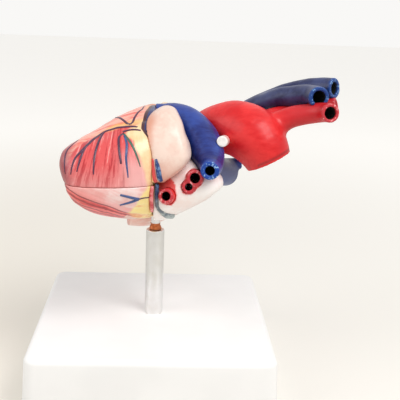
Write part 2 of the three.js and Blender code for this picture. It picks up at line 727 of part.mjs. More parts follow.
const veinCutters = pulmonaryVeins.map( ( vein ) => vein.cutter );
const sinus = without( rod( CORONARY_SINUS, { sides: THIN_SIDES } ), veinCutters );
heart.add( pieceOf( 'coronary_sinus', sinus, VEIN_BLUE ) );
heart.add( pieceOf( 'circumflex_artery', rod( CIRCUMFLEX_ARTERY, { sides: THIN_SIDES } ), ARTERY_RED ) );

// The ventricles: one form with two chambers, cut at the seam into a rear half and a front wall
const bushTop = pinTop + GAP + BUSH_END;
const socketBoss = bar( SOCKET_BOSS_DIAMETER, SOCKET_FOOT, bushTop + GAP + BUSH_END );
const bossCutter = bar( SOCKET_BOSS_DIAMETER + SLIP, SOCKET_FOOT - PAST, bushTop + GAP + BUSH_END + GAP );
const bushHole = bar( BUSH_DIAMETER + SLIP, SOCKET_FOOT - 2 * PAST, bushTop + GAP );
const leafletEnd = BASE_PLANE - GAP - VALVE_DEPTH - LEAFLET_LENGTH;
const mitralBore = crossBar( VALVE_BORE, leafletEnd - 2 * GAP, PAST, ...MITRAL );
const tricuspidBore = crossBar( VALVE_BORE, leafletEnd - 2 * GAP, PAST, ...TRICUSPID );
const chambers = [
	ovalForm( LEFT_CHAMBER, { sides: CHAMBER_SIDES } ),
	ovalForm( RIGHT_CHAMBER, { sides: CHAMBER_SIDES } ),
	rod( LEFT_OUTFLOW, { past: PAST } ),
	rod( RIGHT_OUTFLOW, { past: PAST } )
];

const muscles = PAPILLARY_MUSCLES.map( ( { name, belly, chords } ) => {

	const [ tipX, tipY, tipZ, tipRadius ] = belly[ belly.length - 1 ];
	const strands = chords.map( ( [ y, z ] ) => rod(
		[ [ tipX - tipRadius, tipY, tipZ, CHORD_RADIUS ], [ leafletEnd - GAP, y, z, CHORD_RADIUS ] ],
		{ sides: CHORD_SIDES }
	) );
	const flesh = rod( belly, { sides: SMALL_SIDES } );

	return {
		name,
		solid: flesh.add( strands[ 0 ] ).add( strands[ 1 ] ),
		cutter: rod( belly, { grow: GAP, past: GAP, sides: SMALL_SIDES } )
	};

} );

const magnetFoot = SEAM - GAP - MAGNET_THICKNESS;
const magnetTop = SEAM + 2 * GAP + MAGNET_THICKNESS;
const pegTop = SEAM + PEG_IN_WALL;
const pegFoot = pegTop - PEG_LENGTH;
const magnetPockets = MAGNETS.map( ( { x, y } ) => bar(
	MAGNET_DIAMETER + SLIP, magnetFoot - GAP, magnetTop + GAP, x, y, SMALL_SIDES
) );
const pegHoles = PEGS.map( ( { x, y } ) => bar(
	PEG_DIAMETER + SLIP, pegFoot - GAP, pegTop + GAP, x, y, SMALL_SIDES
) );
const ventricles = without( ovalForm( VENTRICLES ), [
	...chambers, mitralBore, tricuspidBore, ...magnetPockets, ...pegHoles
] );
const rear = without( ventricles.intersect( belowSeam ).add( socketBoss ), [
	bushHole, inferiorCava.cutter, sinusCutter, circumflexCutter, ...muscles.map( ( muscle ) => muscle.cutter )
] );
heart.add( pieceOf( 'ventricle_rear', rear, MUSCLE ) );
frontWall.add( pieceOf( 'front_wall', ventricles.intersect( aboveSeam ), MUSCLE ) );

for ( const { name, solid } of muscles ) heart.add( pieceOf( name, solid, CHAMBER_PINK ) );

const bush = bar( BUSH_DIAMETER, SOCKET_FOOT, bushTop );
const pinHole = bar( PIN_DIAMETER + SLIP, 0, pinTop + GAP );
heart.add( pieceOf( 'socket_bush', bush.subtract( pinHole ), NYLON ) );

for ( const { name, x, y } of MAGNETS ) {

	const lower = bar( MAGNET_DIAMETER, magnetFoot, SEAM - GAP, x, y, SMALL_SIDES );
	const upper = bar( MAGNET_DIAMETER, SEAM + 2 * GAP, magnetTop, x, y, SMALL_SIDES );
	heart.add( pieceOf( `rear_magnet_${ name }`, lower, STEEL ) );
	frontWall.add( pieceOf( `front_magnet_${ name }`, upper, STEEL ) );

}

for ( const { name, x, y } of PEGS ) {

	const peg = bar( PEG_DIAMETER, pegFoot, pegTop, x, y, SMALL_SIDES );
	heart.add( pieceOf( `locating_peg_${ name }`, peg, NYLON ) );

}

// The valves: funnels of thin leaflets on a ring, turned to lie along X
function valve( ringRadius, tipRadius, length, place, facing ) {

	const inner = ringRadius - 2 * LEAFLET_THICKNESS;
	const solid = turning( [
		[ ringRadius, 0 ], [ ringRadius, VALVE_DEPTH ], [ inner + LEAFLET_THICKNESS, VALVE_DEPTH ],
		[ tipRadius + LEAFLET_THICKNESS, VALVE_DEPTH + length ], [ tipRadius, VALVE_DEPTH + length ],
		[ inner, VALVE_DEPTH ], [ inner, 0 ], [ ringRadius, 0 ]
	], VESSEL_SIDES );
	const turned = solid.rotate( [ 0, QUARTER_TURN * facing, 0 ] );

	return turned.translate( place );

}

// Radius of the largest circle inside a faceted bore
function clearRadius( radius, sides ) {

	return radius * Math.cos( Math.PI / sides ) - GAP;

}

const atrialRing = clearRadius( VALVE_BORE / 2, ROUND_SIDES );

for ( const [ name, place ] of [ [ 'mitral_valve', MITRAL ], [ 'tricuspid_valve', TRICUSPID ] ] ) {

	const leaflets = valve( atrialRing, LEAFLET_TIP, LEAFLET_LENGTH, [ BASE_PLANE - GAP, ...place ], - 1 );
	heart.add( pieceOf( name, leaflets, CREAM ) );

}

for ( const [ name, route, wall ] of [
	[ 'aortic_valve', AORTA, ARTERY_WALL ],
	[ 'pulmonary_valve', PULMONARY_TRUNK, TRUNK_WALL ]
] ) {

	const [ , y, z, radius ] = route[ 1 ];
	const ring = clearRadius( radius - wall, VESSEL_SIDES ) - GAP;
	const cusps = valve( ring, CUSP_TIP, CUSP_LENGTH, [ BASE_PLANE + GAP, y, z ], 1 );
	heart.add( pieceOf( name, cusps, CREAM ) );

}

// The atria: thin shells open towards the ventricles, parted by a septum
const vesselCutters = [
	aortaParts.cutter, trunkParts.cutter, superiorCava.cutter, inferiorCava.cutter, bossCutter,
	sinusCutter, ...veinCutters
];

function atrium( stations, outerSide, innerSide ) {

	const outside = ovalForm( stations ).intersect( outerSide );
	const inside = ovalForm( stations, {
		grow: - ATRIUM_WALL, shift: - ATRIUM_WALL, startPast: PAST, sides: CHAMBER_SIDES
	} );

	return without( outside.subtract( inside.intersect( innerSide ) ), vesselCutters );

}

const leftSide = ( limit ) => block( [ - FAR_OFF, - FAR_OFF, - FAR_OFF ], [ FAR_OFF, limit, FAR_OFF ] );
const rightSide = ( limit ) => block( [ - FAR_OFF, limit, - FAR_OFF ], [ FAR_OFF, FAR_OFF, FAR_OFF ] );
const rightFace = SEPTUM + GAP;
const leftAtrium = atrium( LEFT_ATRIUM, leftSide( SEPTUM ), leftSide( SEPTUM - ATRIUM_WALL ) );
const rightAtrium = atrium( RIGHT_ATRIUM, rightSide( rightFace ), rightSide( rightFace + ATRIUM_WALL ) );
heart.add( pieceOf( 'left_atrium', leftAtrium, CREAM ) );
heart.add( pieceOf( 'right_atrium', rightAtrium, CREAM ) );

// The auricles, which lift off with the front wall
function leftAuricle() {

	const [ middleX, middleZ ] = AURICLE_MIDDLE;
	const heights = AURICLE_OUTLINE.map( ( [ , z ] ) => z );
	const lowest = Math.min( ...heights );
	const rise = Math.max( ...heights ) - lowest;
	const outline = new THREE.CatmullRomCurve3(
		AURICLE_OUTLINE.map( ( [ x, z ] ) => new THREE.Vector3( x, 0, z ) ), true
	).getPoints( OVAL_SIDES ).slice( 0, OVAL_SIDES );

	return skin( AURICLE_LAYERS.map( ( [ scale, depth ] ) => outline.map( ( point ) => {

		const x = middleX + ( point.x - middleX ) * scale;
		const z = middleZ + ( point.z - middleZ ) * scale;
		const fall = AURICLE_FALL * ( ( z - lowest ) / rise ) ** 2;

		return new THREE.Vector3( x, AURICLE_EDGE + fall + depth, z );

	} ) ) );

}

const auricleCutters = [ VENTRICLES, LEFT_ATRIUM, RIGHT_ATRIUM ].map( ( stations ) => ovalForm(
	stations, { grow: GAP, endPast: GAP }
) ).concat( vesselCutters );
frontWall.add( pieceOf( 'left_auricle', without( leftAuricle(), auricleCutters ), CREAM ) );
frontWall.add( pieceOf( 'right_auricle', without( ovalForm( RIGHT_AURICLE ), auricleCutters ), CREAM ) );

const model = new THREE.Group();
model.add( stand, pin, heart, frontWall );
model.updateMatrixWorld( true );

export default model;
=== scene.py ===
import math

import bpy
import numpy as np
from mathutils import Matrix, Vector


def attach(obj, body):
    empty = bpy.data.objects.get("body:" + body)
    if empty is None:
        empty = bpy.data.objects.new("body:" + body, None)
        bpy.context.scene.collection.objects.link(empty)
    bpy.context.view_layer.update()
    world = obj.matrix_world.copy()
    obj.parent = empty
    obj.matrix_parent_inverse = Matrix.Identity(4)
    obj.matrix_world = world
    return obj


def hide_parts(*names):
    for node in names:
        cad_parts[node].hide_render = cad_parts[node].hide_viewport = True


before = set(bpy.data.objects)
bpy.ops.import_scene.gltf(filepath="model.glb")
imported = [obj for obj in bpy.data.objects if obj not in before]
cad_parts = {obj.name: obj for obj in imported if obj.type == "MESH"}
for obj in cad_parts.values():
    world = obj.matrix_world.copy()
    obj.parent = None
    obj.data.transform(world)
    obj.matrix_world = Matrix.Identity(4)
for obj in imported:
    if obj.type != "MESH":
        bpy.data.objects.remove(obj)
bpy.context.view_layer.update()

# The base shell: a square white box, vacuum-smooth on top and open below, in satin plastic.
# Its walls lean outwards to the foot and its edges are rounded. Inside stand a round boss
# that holds the post and four small bosses for the screws of the plate.
BASE_SIDE = 150
BASE_HEIGHT = 36
BASE_WALL = 3
BASE_DRAFT = 0.044
BASE_CORNER = 8
BASE_EDGE = 4
SCREW_REACH = 61
POST_RADIUS = 6
POST_TOP = 94


def pale(red, green, blue):
    """A paint colour from its red, green and blue out of 255."""
    shares = [value / 255 for value in (red, green, blue)]
    linear = [s / 12.92 if s <= 0.04045 else ((s + 0.055) / 1.055) ** 2.4 for s in shares]
    return (*linear, 1.0)


class Wire:
    """A value in a finish. Sums, products and differences of wires add their Math nodes."""

    def __init__(self, finish, socket):
        self.finish = finish
        self.socket = socket

    def maths(self, operation, *others):
        return self.finish.node("ShaderNodeMath", {"operation": operation}, (self, *others))

    def __add__(self, other):
        return self.maths("ADD", other)

    def __sub__(self, other):
        return self.maths("SUBTRACT", other)

    def __mul__(self, other):
        return self.maths("MULTIPLY", other)

    def __truediv__(self, other):
        return self.maths("DIVIDE", other)

    __radd__ = __add__
    __rmul__ = __mul__

    def __rsub__(self, other):
        return self * -1 + other

    def rise(self, low, high):
        """0 below low and 1 above high, with a smooth step between."""
        values = {"Value": self, "From Min": low, "From Max": high}
        return self.finish.node("ShaderNodeMapRange", {"interpolation_type": "SMOOTHSTEP"}, values)


class Finish:
    """A material on the Principled shader, with its nodes added one by one."""

    def __init__(self, name, **fixed):
        self.material = bpy.data.materials.new(name)
        self.material.use_nodes = True
        self.tree = self.material.node_tree
        self.shader = self.tree.nodes["Principled BSDF"]
        for socket, value in fixed.items():
            self.shader.inputs[socket.replace("_", " ")].default_value = value
        self.place = self.node("ShaderNodeTexCoord", out="Object")

    def node(self, kind, settings=None, values=(), out=0):
        """A node with its settings, its inputs set or joined by name or place, and one output."""
        made = self.tree.nodes.new(kind)
        for key, value in (settings or {}).items():
            setattr(made, key, value)
        pairs = values.items() if isinstance(values, dict) else enumerate(values)
        for key, value in pairs:
            if isinstance(value, Wire):
                self.tree.links.new(value.socket, made.inputs[key])
            else:
                made.inputs[key].default_value = value
        return Wire(self, made.outputs[out])

    def mark(self, name):
        """A value that the mesh carries at its points."""
        return self.node("ShaderNodeAttribute", {"attribute_name": name}, out="Fac")

    def noise(self, size, stretch=(1, 1, 1), detail=3.0, roughness=0.5):
        """Noise whose spots are about size millimetres across, drawn out by stretch."""
        scale = tuple(1000 / (size * share) for share in stretch)
        moved = self.node("ShaderNodeMapping", {}, {"Vector": self.place, "Scale": scale})
        values = {"Vector": moved, "Scale": 1.0, "Detail": detail, "Roughness": roughness}
        return self.node("ShaderNodeTexNoise", {}, values)

    def blend(self, share, first, second):
        """The first colour where share is 0 and the second where it is 1."""
        return self.node("ShaderNodeMix", {"data_type": "RGBA"}, {0: share, 6: first, 7: second}, out=2)

    def bump(self, height, depth):
        """Surface relief of depth millimetres where height goes from 0 to 1."""
        values = {"Height": height, "Distance": depth / 1000, "Strength": 1.0}
        self.feed("Normal", self.node("ShaderNodeBump", {}, values))

    def feed(self, socket, wire):
        self.tree.links.new(wire.socket, self.shader.inputs[socket])


def piece_from(name, points, faces, finish, body, nodes, marks=None, sharp=None):
    """A finished piece from points in millimetres. It rides on body and stands for its nodes."""
    mesh = bpy.data.meshes.new(name)
    mesh.from_pydata((np.asarray(points, float) / 1000).tolist(), [], [list(face) for face in faces])
    mesh.validate()
    for key, values in (marks or {}).items():
        mark = mesh.attributes.new(key, "FLOAT", "POINT")
        mark.data.foreach_set("value", np.asarray(values, np.float32))
    piece = bpy.data.objects.new(name, mesh)
    bpy.context.scene.collection.objects.link(piece)
    mesh.materials.append(finish.material)
    mesh.polygons.foreach_set("use_smooth", [True] * len(mesh.polygons))
    if sharp:
        mesh.set_sharp_from_angle(angle=math.radians(sharp))
    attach(piece, body)
    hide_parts(*nodes)
    return piece


def rings_to_faces(rings, around, closed=False):
    """Quads between rings of points, each ring having around points."""
    faces = []
    for ring in range(rings if closed else rings - 1):
        for step in range(around):
            a = ring * around + step
            b = ring * around + (step + 1) % around
            c = ((ring + 1) % rings) * around + (step + 1) % around
            d = ((ring + 1) % rings) * around + step
            faces.append((a, b, c, d))
    return faces


def turned(profile, steps=48, x=0.0, y=0.0, closed=False):
    """Points and faces of a form turned about an upright axis. A radius of nought is a pole."""
    points = []
    rings = []
    for radius, height in profile:
        count = steps if radius else 1
        rings.append([len(points) + step % count for step in range(steps + 1)])
        for step in range(count):
            turn = step / steps * 2 * math.pi
            points.append((x + radius * math.cos(turn), y + radius * math.sin(turn), height))
    for ring in rings:
        ring[-1] = ring[0]
    faces = []
    for lower, upper in zip(rings, rings[1:] + rings[:1] if closed else rings[1:]):
        for step in range(steps):
            corners = dict.fromkeys((lower[step], lower[step + 1], upper[step + 1], upper[step]))
            if len(corners) > 2:
                faces.append(list(corners))
    return points, faces


CORNER_STEPS = 12


def square_ring(half, corner, height):
    """Points of a level square with rounded corners."""
    ring = []
    for quarter in range(4):
        middle = (quarter + 0.5) * math.pi / 2
        reach = (half - corner) * math.sqrt(2)
        for step in range(CORNER_STEPS + 1):
            turn = (quarter + step / CORNER_STEPS) * math.pi / 2
            ring.append((
                math.cos(middle) * reach + math.cos(turn) * corner,
                math.sin(middle) * reach + math.sin(turn) * corner,
                height,
            ))
    return ring


def half_side(height):
    """Half the base's width at a height, its walls leaning outwards to the foot."""
    return BASE_SIDE / 2 + (BASE_HEIGHT - height) * BASE_DRAFT


white_plastic = Finish("white_plastic", Roughness=0.42, Specular_IOR_Level=0.4)
grain = white_plastic.noise(0.9, detail=2.0)
cloud = white_plastic.noise(45.0, detail=2.0)
white_plastic.feed("Base Color", white_plastic.blend(
    cloud.rise(0.3, 0.7), pale(246, 245, 243), pale(251, 250, 248)
))
white_plastic.feed("Roughness", 0.36 + 0.14 * cloud)
white_plastic.bump(grain, 0.012)

foot_radius = 0.8
rings = [square_ring(half_side(0) - foot_radius, BASE_CORNER - foot_radius, 0)]
lift = foot_radius * 0.3
rings.append(square_ring(half_side(0) - lift, BASE_CORNER - lift, lift))
for height in np.linspace(foot_radius, BASE_HEIGHT - BASE_EDGE, 6):
    rings.append(square_ring(half_side(height), BASE_CORNER, height))
for step in range(1, 9):
    turn = step / 8 * math.pi / 2
    inset = BASE_EDGE * (1 - math.cos(turn))
    height = BASE_HEIGHT - BASE_EDGE * (1 - math.sin(turn))
    rings.append(square_ring(half_side(BASE_HEIGHT - BASE_EDGE) - inset, BASE_CORNER - inset, height))
top_half = half_side(BASE_HEIGHT - BASE_EDGE) - BASE_EDGE
for share in (0.75, 0.5, 0.25):
    flat = square_ring(top_half, BASE_CORNER - BASE_EDGE, 0)
    rings.append([(x * share, y * share, BASE_HEIGHT) for x, y, _ in flat])
around = len(rings[0])
hole = POST_RADIUS + 0.3
boss = 13.0


def round_from_square(radius, height):
    """A round ring with a point below each point of the square rings."""
    ring = []
    for x, y, _ in square_ring(top_half, BASE_CORNER - BASE_EDGE, 0):
        reach = math.hypot(x, y)
        ring.append((x / reach * radius, y / reach * radius, height))
    return ring


rings.append(round_from_square(hole + 0.5, BASE_HEIGHT))
rings.append(round_from_square(hole, BASE_HEIGHT - 0.5))
rings.append(round_from_square(hole, 16.7))
rings.append(round_from_square(3.3, 16.7))
rings.append(round_from_square(3.3, 8.7))
rings.append(round_from_square(boss - 0.5, 8.7))
rings.append(round_from_square(boss, 9.2))
rings.append(round_from_square(boss, BASE_HEIGHT - BASE_WALL))
for share in (0.35, 0.7):
    flat = square_ring(half_side(BASE_HEIGHT) - BASE_WALL, BASE_CORNER - BASE_WALL, 0)
    rings.append([(x * share, y * share, BASE_HEIGHT - BASE_WALL) for x, y, _ in flat])
for height in np.linspace(BASE_HEIGHT - BASE_WALL, 0, 6):
    rings.append(square_ring(half_side(height) - BASE_WALL, BASE_CORNER - BASE_WALL, height))
points = [point for ring in rings for point in ring]
faces = rings_to_faces(len(rings), around, closed=True)
boss_profile = [(0, 18), (1.8, 18), (1.8, 3.3), (4.2, 3.3), (4.5, 3.6), (4.5, 33.5), (0, 33.5)]
for x in (-SCREW_REACH, SCREW_REACH):
    for y in (-SCREW_REACH, SCREW_REACH):
        more, sides = turned(boss_profile, 24, x, y)
        faces += [[corner + len(points) for corner in side] for side in sides]
        points += more
piece_from("base", points, faces, white_plastic, "stand", ["base_shell"], sharp=40)

# The base plate: a flat white plastic sheet that closes the shell's underside.
# Four countersunk screws hold it to the corner bosses.
plate_finish = Finish("plate_plastic", Roughness=0.5)
grain = plate_finish.noise(1.4, detail=2.0)
cloud = plate_finish.noise(30.0, detail=2.0)
plate_finish.feed(
    "Base Color", plate_finish.blend(cloud.rise(0.3, 0.7), pale(238, 237, 234), pale(247, 246, 243)),
)
plate_finish.bump(grain, 0.02)


def dress(node, finish):
    """Gives a node of the frame its finish."""
    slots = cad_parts[node].data.materials
    slots.clear()
    slots.append(finish.material)


dress("base_plate", plate_finish)

# Four plate screws: zinc-plated steel with a cross in the head, driven up from below.
# One screw is turned in code, and a node tree sets a copy at each corner.
zinc = Finish("zinc_steel", Metallic=1.0)
brushed = zinc.noise(0.5, stretch=(1, 1, 6), detail=2.0)
zinc.feed("Base Color", zinc.blend(brushed.rise(0.3, 0.7), pale(168, 171, 176), pale(196, 198, 201)))
zinc.feed("Roughness", 0.28 + 0.16 * brushed)
zinc.bump(brushed, 0.01)


def mesh_of(name, points, faces):
    """A bare object from points in millimetres."""
    mesh = bpy.data.meshes.new(name)
    mesh.from_pydata((np.asarray(points, float) / 1000).tolist(), [], [list(face) for face in faces])
    made = bpy.data.objects.new(name, mesh)
    bpy.context.scene.collection.objects.link(made)
    return made


copies = bpy.data.node_groups.new("copies_at_points", "GeometryNodeTree")
for name, kind in [
    ("Geometry", "Geometry"), ("Pattern", "Object"), ("Most Turn", "Float"), ("Seed", "Int"),
    ("Finish", "Material"),
]:
    copies.interface.new_socket(name, in_out="INPUT", socket_type="NodeSocket" + kind)
copies.interface.new_socket("Geometry", in_out="OUTPUT", socket_type="NodeSocketGeometry")
given = copies.nodes.new("NodeGroupInput")
result = copies.nodes.new("NodeGroupOutput")
pattern = copies.nodes.new("GeometryNodeObjectInfo")
spin = copies.nodes.new("FunctionNodeRandomValue")
heading = copies.nodes.new("ShaderNodeCombineXYZ")
rotation = copies.nodes.new("FunctionNodeEulerToRotation")
placed = copies.nodes.new("GeometryNodeInstanceOnPoints")
real = copies.nodes.new("GeometryNodeRealizeInstances")
dressed = copies.nodes.new("GeometryNodeSetMaterial")
spin.data_type = "FLOAT"
for start, end in [
    (given.outputs["Geometry"], placed.inputs["Points"]),
    (given.outputs["Pattern"], pattern.inputs["Object"]),
    (pattern.outputs["Geometry"], placed.inputs["Instance"]),
    (given.outputs["Most Turn"], spin.inputs[3]),
    (given.outputs["Seed"], spin.inputs["Seed"]),
    (spin.outputs[1], heading.inputs["Z"]),
    (heading.outputs[0], rotation.inputs[0]),
    (rotation.outputs[0], placed.inputs["Rotation"]),
    (placed.outputs[0], real.inputs[0]),
    (real.outputs[0], dressed.inputs["Geometry"]),
    (given.outputs["Finish"], dressed.inputs["Material"]),
    (dressed.outputs[0], result.inputs[0]),
]:
    copies.links.new(start, end)


MOST_TURN = 6.28
TURN_SEED = 3


def placed_copies(name, pattern, places, finish, body, nodes):
    """One mesh of copies of a pattern at the places, in millimetres."""
    host = mesh_of(name, places, [])
    modifier = host.modifiers.new("copies", "NODES")
    modifier.node_group = copies
    chosen = {"Pattern": pattern, "Most Turn": MOST_TURN, "Seed": TURN_SEED, "Finish": finish.material}
    for socket in copies.interface.items_tree:
        if socket.in_out == "INPUT" and socket.name in chosen:
            modifier[socket.identifier] = chosen[socket.name]
    bpy.context.view_layer.update()
    plain = bpy.data.meshes.new_from_object(host.evaluated_get(bpy.context.evaluated_depsgraph_get()))
    host.modifiers.clear()
    host.data = plain
    host.data.name = name
    bpy.data.objects.remove(pattern)
    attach(host, body)
    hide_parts(*nodes)
    return host


steps = 24
profile = [(0, 1.5), (0.8, 1.4), (1.2, 0.3), (2.9, 0.3), (3.2, 0.6), (3.2, 1.2), (2.9, 1.8), (1.5, 2.7)]
for turn in range(48):
    profile.append((1.5 if turn % 2 else 1.2, 3.2 + turn * 0.27))
profile += [(0.9, 16.4), (0, 16.8)]
points, faces = turned(profile, steps)
for ring in (1, 2):
    for step in range(steps):
        index = 1 + (ring - 1) * steps + step
        x, y, height = points[index]
        reach = (2.1, 0.5)[min(step % 6, 6 - step % 6) > 0]
        turn = step / steps * 2 * math.pi
        points[index] = (math.cos(turn) * reach, math.sin(turn) * reach, height)
screw = mesh_of("screw_pattern", points, faces)
for face in screw.data.polygons:
    face.use_smooth = True
corners = [(x, y, 0) for x in (-SCREW_REACH, SCREW_REACH) for y in (-SCREW_REACH, SCREW_REACH)]
placed_copies(
    "base_screws", screw, corners, zinc, "stand",
    ["base_screw_1", "base_screw_2", "base_screw_3", "base_screw_4"],
)

# The post: a chromed steel tube, its foot drawn down into the base's socket by a screw from
# below. Its open top takes the swivel pin.
chrome = Finish("chrome", Metallic=1.0)
drawn = chrome.noise(0.35, stretch=(1, 1, 40), detail=2.0)
wear = chrome.noise(6.0, detail=4.0)
chrome.feed("Base Color", chrome.blend(wear.rise(0.35, 0.75), pale(236, 236, 236), pale(228, 227, 224)))
chrome.feed("Roughness", 0.16 + 0.1 * drawn + 0.06 * wear)
chrome.bump(drawn, 0.004)

bevel = [(POST_RADIUS - 0.7 + 0.7 * math.sin(turn), POST_TOP - 0.7 + 0.7 * math.cos(turn))
         for turn in np.linspace(math.pi / 2, 0, 6)]
points, faces = turned(
    [(0, 33.3), (3.3, 33.3), (3.3, 17.4), (3.7, 17), (5.6, 17), (6, 17.4)] + bevel
    + [(3.6, 94), (3.3, 93.7), (3.3, 68.7), (0, 68.7)], 64,
)
piece_from("post_tube", points, faces, chrome, "stand", ["post"], sharp=35)

# The fixing screw and its washer hold the post from under the base: zinc-plated steel.
# They keep the frame's solids.
for node in ("post_fixing_screw", "post_fixing_washer"):
    dress(node, zinc)

# The swivel pin: a polished rod that stands loose in the post and carries the heart.
# A turned collar of copper-coloured metal on it caps the post.
points, faces = turned([
    (0, 69), (2.5, 69), (3, 69.5), (3, 115.2), (2.4, 115.9), (0, 115.9),
], 48)
piece_from("swivel_pin", points, faces, chrome, "pin", ["post_pin"], sharp=35)

copper = Finish("copper_collar", Metallic=0.75)
tarnish = copper.noise(2.2, detail=5.0)
copper.feed("Base Color", copper.blend(tarnish.rise(0.35, 0.7), pale(214, 128, 78), pale(176, 98, 56)))
copper.feed("Roughness", 0.34 + 0.25 * tarnish)
copper.bump(tarnish, 0.03)
crown = []
for turn in np.linspace(0, 0.86 * math.pi / 2, 14):
    crown.append((4.0 * math.cos(turn), 94.5 + 3.9 * math.sin(turn)))
points, faces = turned(
    [(3.1, 94.3), (3.9, 94.3)] + crown + [(3.3, 98.3), (3.1, 98.1)], 48, closed=True,
)
piece_from("copper_collar", points, faces, copper, "pin", ["pin_collar"], sharp=50)

# The aorta: hollow cast vinyl, painted red. It rises from the left ventricle, arches over to a
# wide cut end, and gives off two arteries whose black mouths end in red rims with pale painted
# highlights. It is glued to the flat back of the ventricles.
HEART_FOOT = 94.0
GAP = 0.3
TOUCH = 0.1
BATCH = 60000
PROBE_REACH = 0.05
BLOCK = 6
ROUNDS = 2
BOX_MARGIN = 1.0
CORD_SIDES = 8
BASE_PLANE = -1.5
ARTERY_WALL = 3.0
BRANCH_WALL = 1.9
AORTA = [
    (-8, 2, 47, 12.5), (-1.5, 2, 47, 12.5), (5, 2, 47, 12.5), (13, 7, 50.4, 12.5),
    (22, 14.8, 55.8, 12.5), (32, 12.4, 62.6, 14.2), (43, 6.5, 67, 16.4), (53, 0.4, 67.6, 18),
    (61.3, -6.2, 63.8, 18), (66.2, -9.8, 58.2, 16.3), (69.4, -10.6, 52.3, 14.6),
]
NEAR_ARTERY = [
    (66, -4, 60, 9), (73, -4.4, 70, 8.4), (81, -5.6, 76, 7), (90.5, -8, 79.4, 6.4),
    (98, -11.6, 81.2, 6.2), (103, -16.6, 82.4, 6), (105, -23, 83, 5.8),
]
FAR_ARTERY = [
    (60, 6, 64, 8), (72, 7, 72.6, 7.4), (84, 9, 76.4, 6.4), (99, 8.6, 79.6, 6), (114.4, 3.4, 84, 5.5),
]


def smooth_min(first, second, blend):
    """The lesser of two distances, rounded over where they meet."""
    share = np.clip(0.5 + 0.5 * (second - first) / blend, 0, 1)
    return second + (first - second) * share - blend * share * (1 - share)


def smooth_max(first, second, blend):
    return -smooth_min(-first, -second, blend)


def route(stations, pace=2.5):
    """Points and radii of a smooth curve through the stations, about pace apart."""
    knots = np.array(stations, float)
    knots = np.vstack([2 * knots[0] - knots[1], knots, 2 * knots[-1] - knots[-2]])
    gaps = np.sqrt(np.linalg.norm(np.diff(knots[:, :3], axis=0), axis=1))
    line = []
    for index in range(1, len(knots) - 2):
        a, b, c, d = knots[index - 1:index + 3]
        before, here, after = gaps[index - 1:index + 2]
        leave = here * ((b - a) / before - (c - a) / (before + here) + (c - b) / here)
        reach = here * ((c - b) / here - (d - b) / (here + after) + (d - c) / after)
        steps = max(1, round(np.linalg.norm((c - b)[:3]) / pace))
        for share in np.arange(steps) / steps:
            turn = share * share * (3 - 2 * share)
            pull = share * (1 - share)
            line.append(b + (c - b) * turn + leave * pull * (1 - share) - reach * pull * share)
    line.append(knots[-2])
    return np.array(line)


def tube(stations, grow=0.0, before=0.0, past=0.0, rim=0.6):
    """Distance to a round rod along the stations, cut flat before its first and past its last."""
    line = route(stations)
    starts = line[:-1, :3]
    spans = np.diff(line[:, :3], axis=0)
    lengths = np.linalg.norm(spans, axis=1)
    radii = line[:, 3] + grow
    margin = radii.max() + min(max(before, past), 10) + 5
    low = line[:, :3].min(axis=0) - margin
    high = line[:, :3].max(axis=0) + margin
    last = len(spans) - 1

    def distance(points):
        outside = np.linalg.norm(np.maximum(np.maximum(low - points, points - high), 0), axis=1)
        result = outside + 5
        near = np.flatnonzero(outside == 0)
        if not len(near):
            return result
        here = points[near]
        best = np.full(len(near), 1e6)
        axial = np.full(len(near), -1e6)
        for index in range(last + 1):
            away = here - starts[index]
            along = away @ spans[index] / lengths[index] ** 2
            held = np.clip(along, 0, 1)
            gap = away - held[:, None] * spans[index]
            widening = radii[index + 1] - radii[index]
            reach = np.sqrt(np.einsum("ij,ij->i", gap, gap)) - radii[index] - widening * held
            closer = reach < best
            best[closer] = reach[closer]
            axial[closer] = -1e6
            ends = [(0, -along * lengths[index], before, radii[0])]
            ends.append((last, (along - 1) * lengths[index], past, radii[-1]))
            for end, beyond, extra, radius in ends:
                if index == end:
                    mine = closer & (beyond > -3)
                    axial[mine] = beyond[mine] - extra
                    out = closer & (beyond > 0)
                    side = away[out] - along[out, None] * spans[index]
                    best[out] = np.sqrt(np.einsum("ij,ij->i", side, side)) - radius
        result[near] = smooth_max(best, axial, rim)
        return result

    return distance


def joined(shapes, blend):
    """Distance to several forms that run into each other."""
    def distance(points):
        result = shapes[0](points)
        for shape in shapes[1:]:
            result = smooth_min(result, shape(points), blend)
        return result

    return distance


def in_parts(shape, points):
    """Distances at many points, a batch at a time to spare memory."""
    starts = range(0, len(points), BATCH)
    return np.concatenate([shape(points[start:start + BATCH]) for start in starts])


def facing(shape, points):
    """Slope of a distance at the points, from four probes."""
    probes = np.array([(1, -1, -1), (-1, -1, 1), (-1, 1, -1), (1, 1, 1)], float)
    slope = np.zeros_like(points)
    for probe in probes:
        slope += in_parts(shape, points + probe * PROBE_REACH)[:, None] * probe
    return slope / (4 * PROBE_REACH)


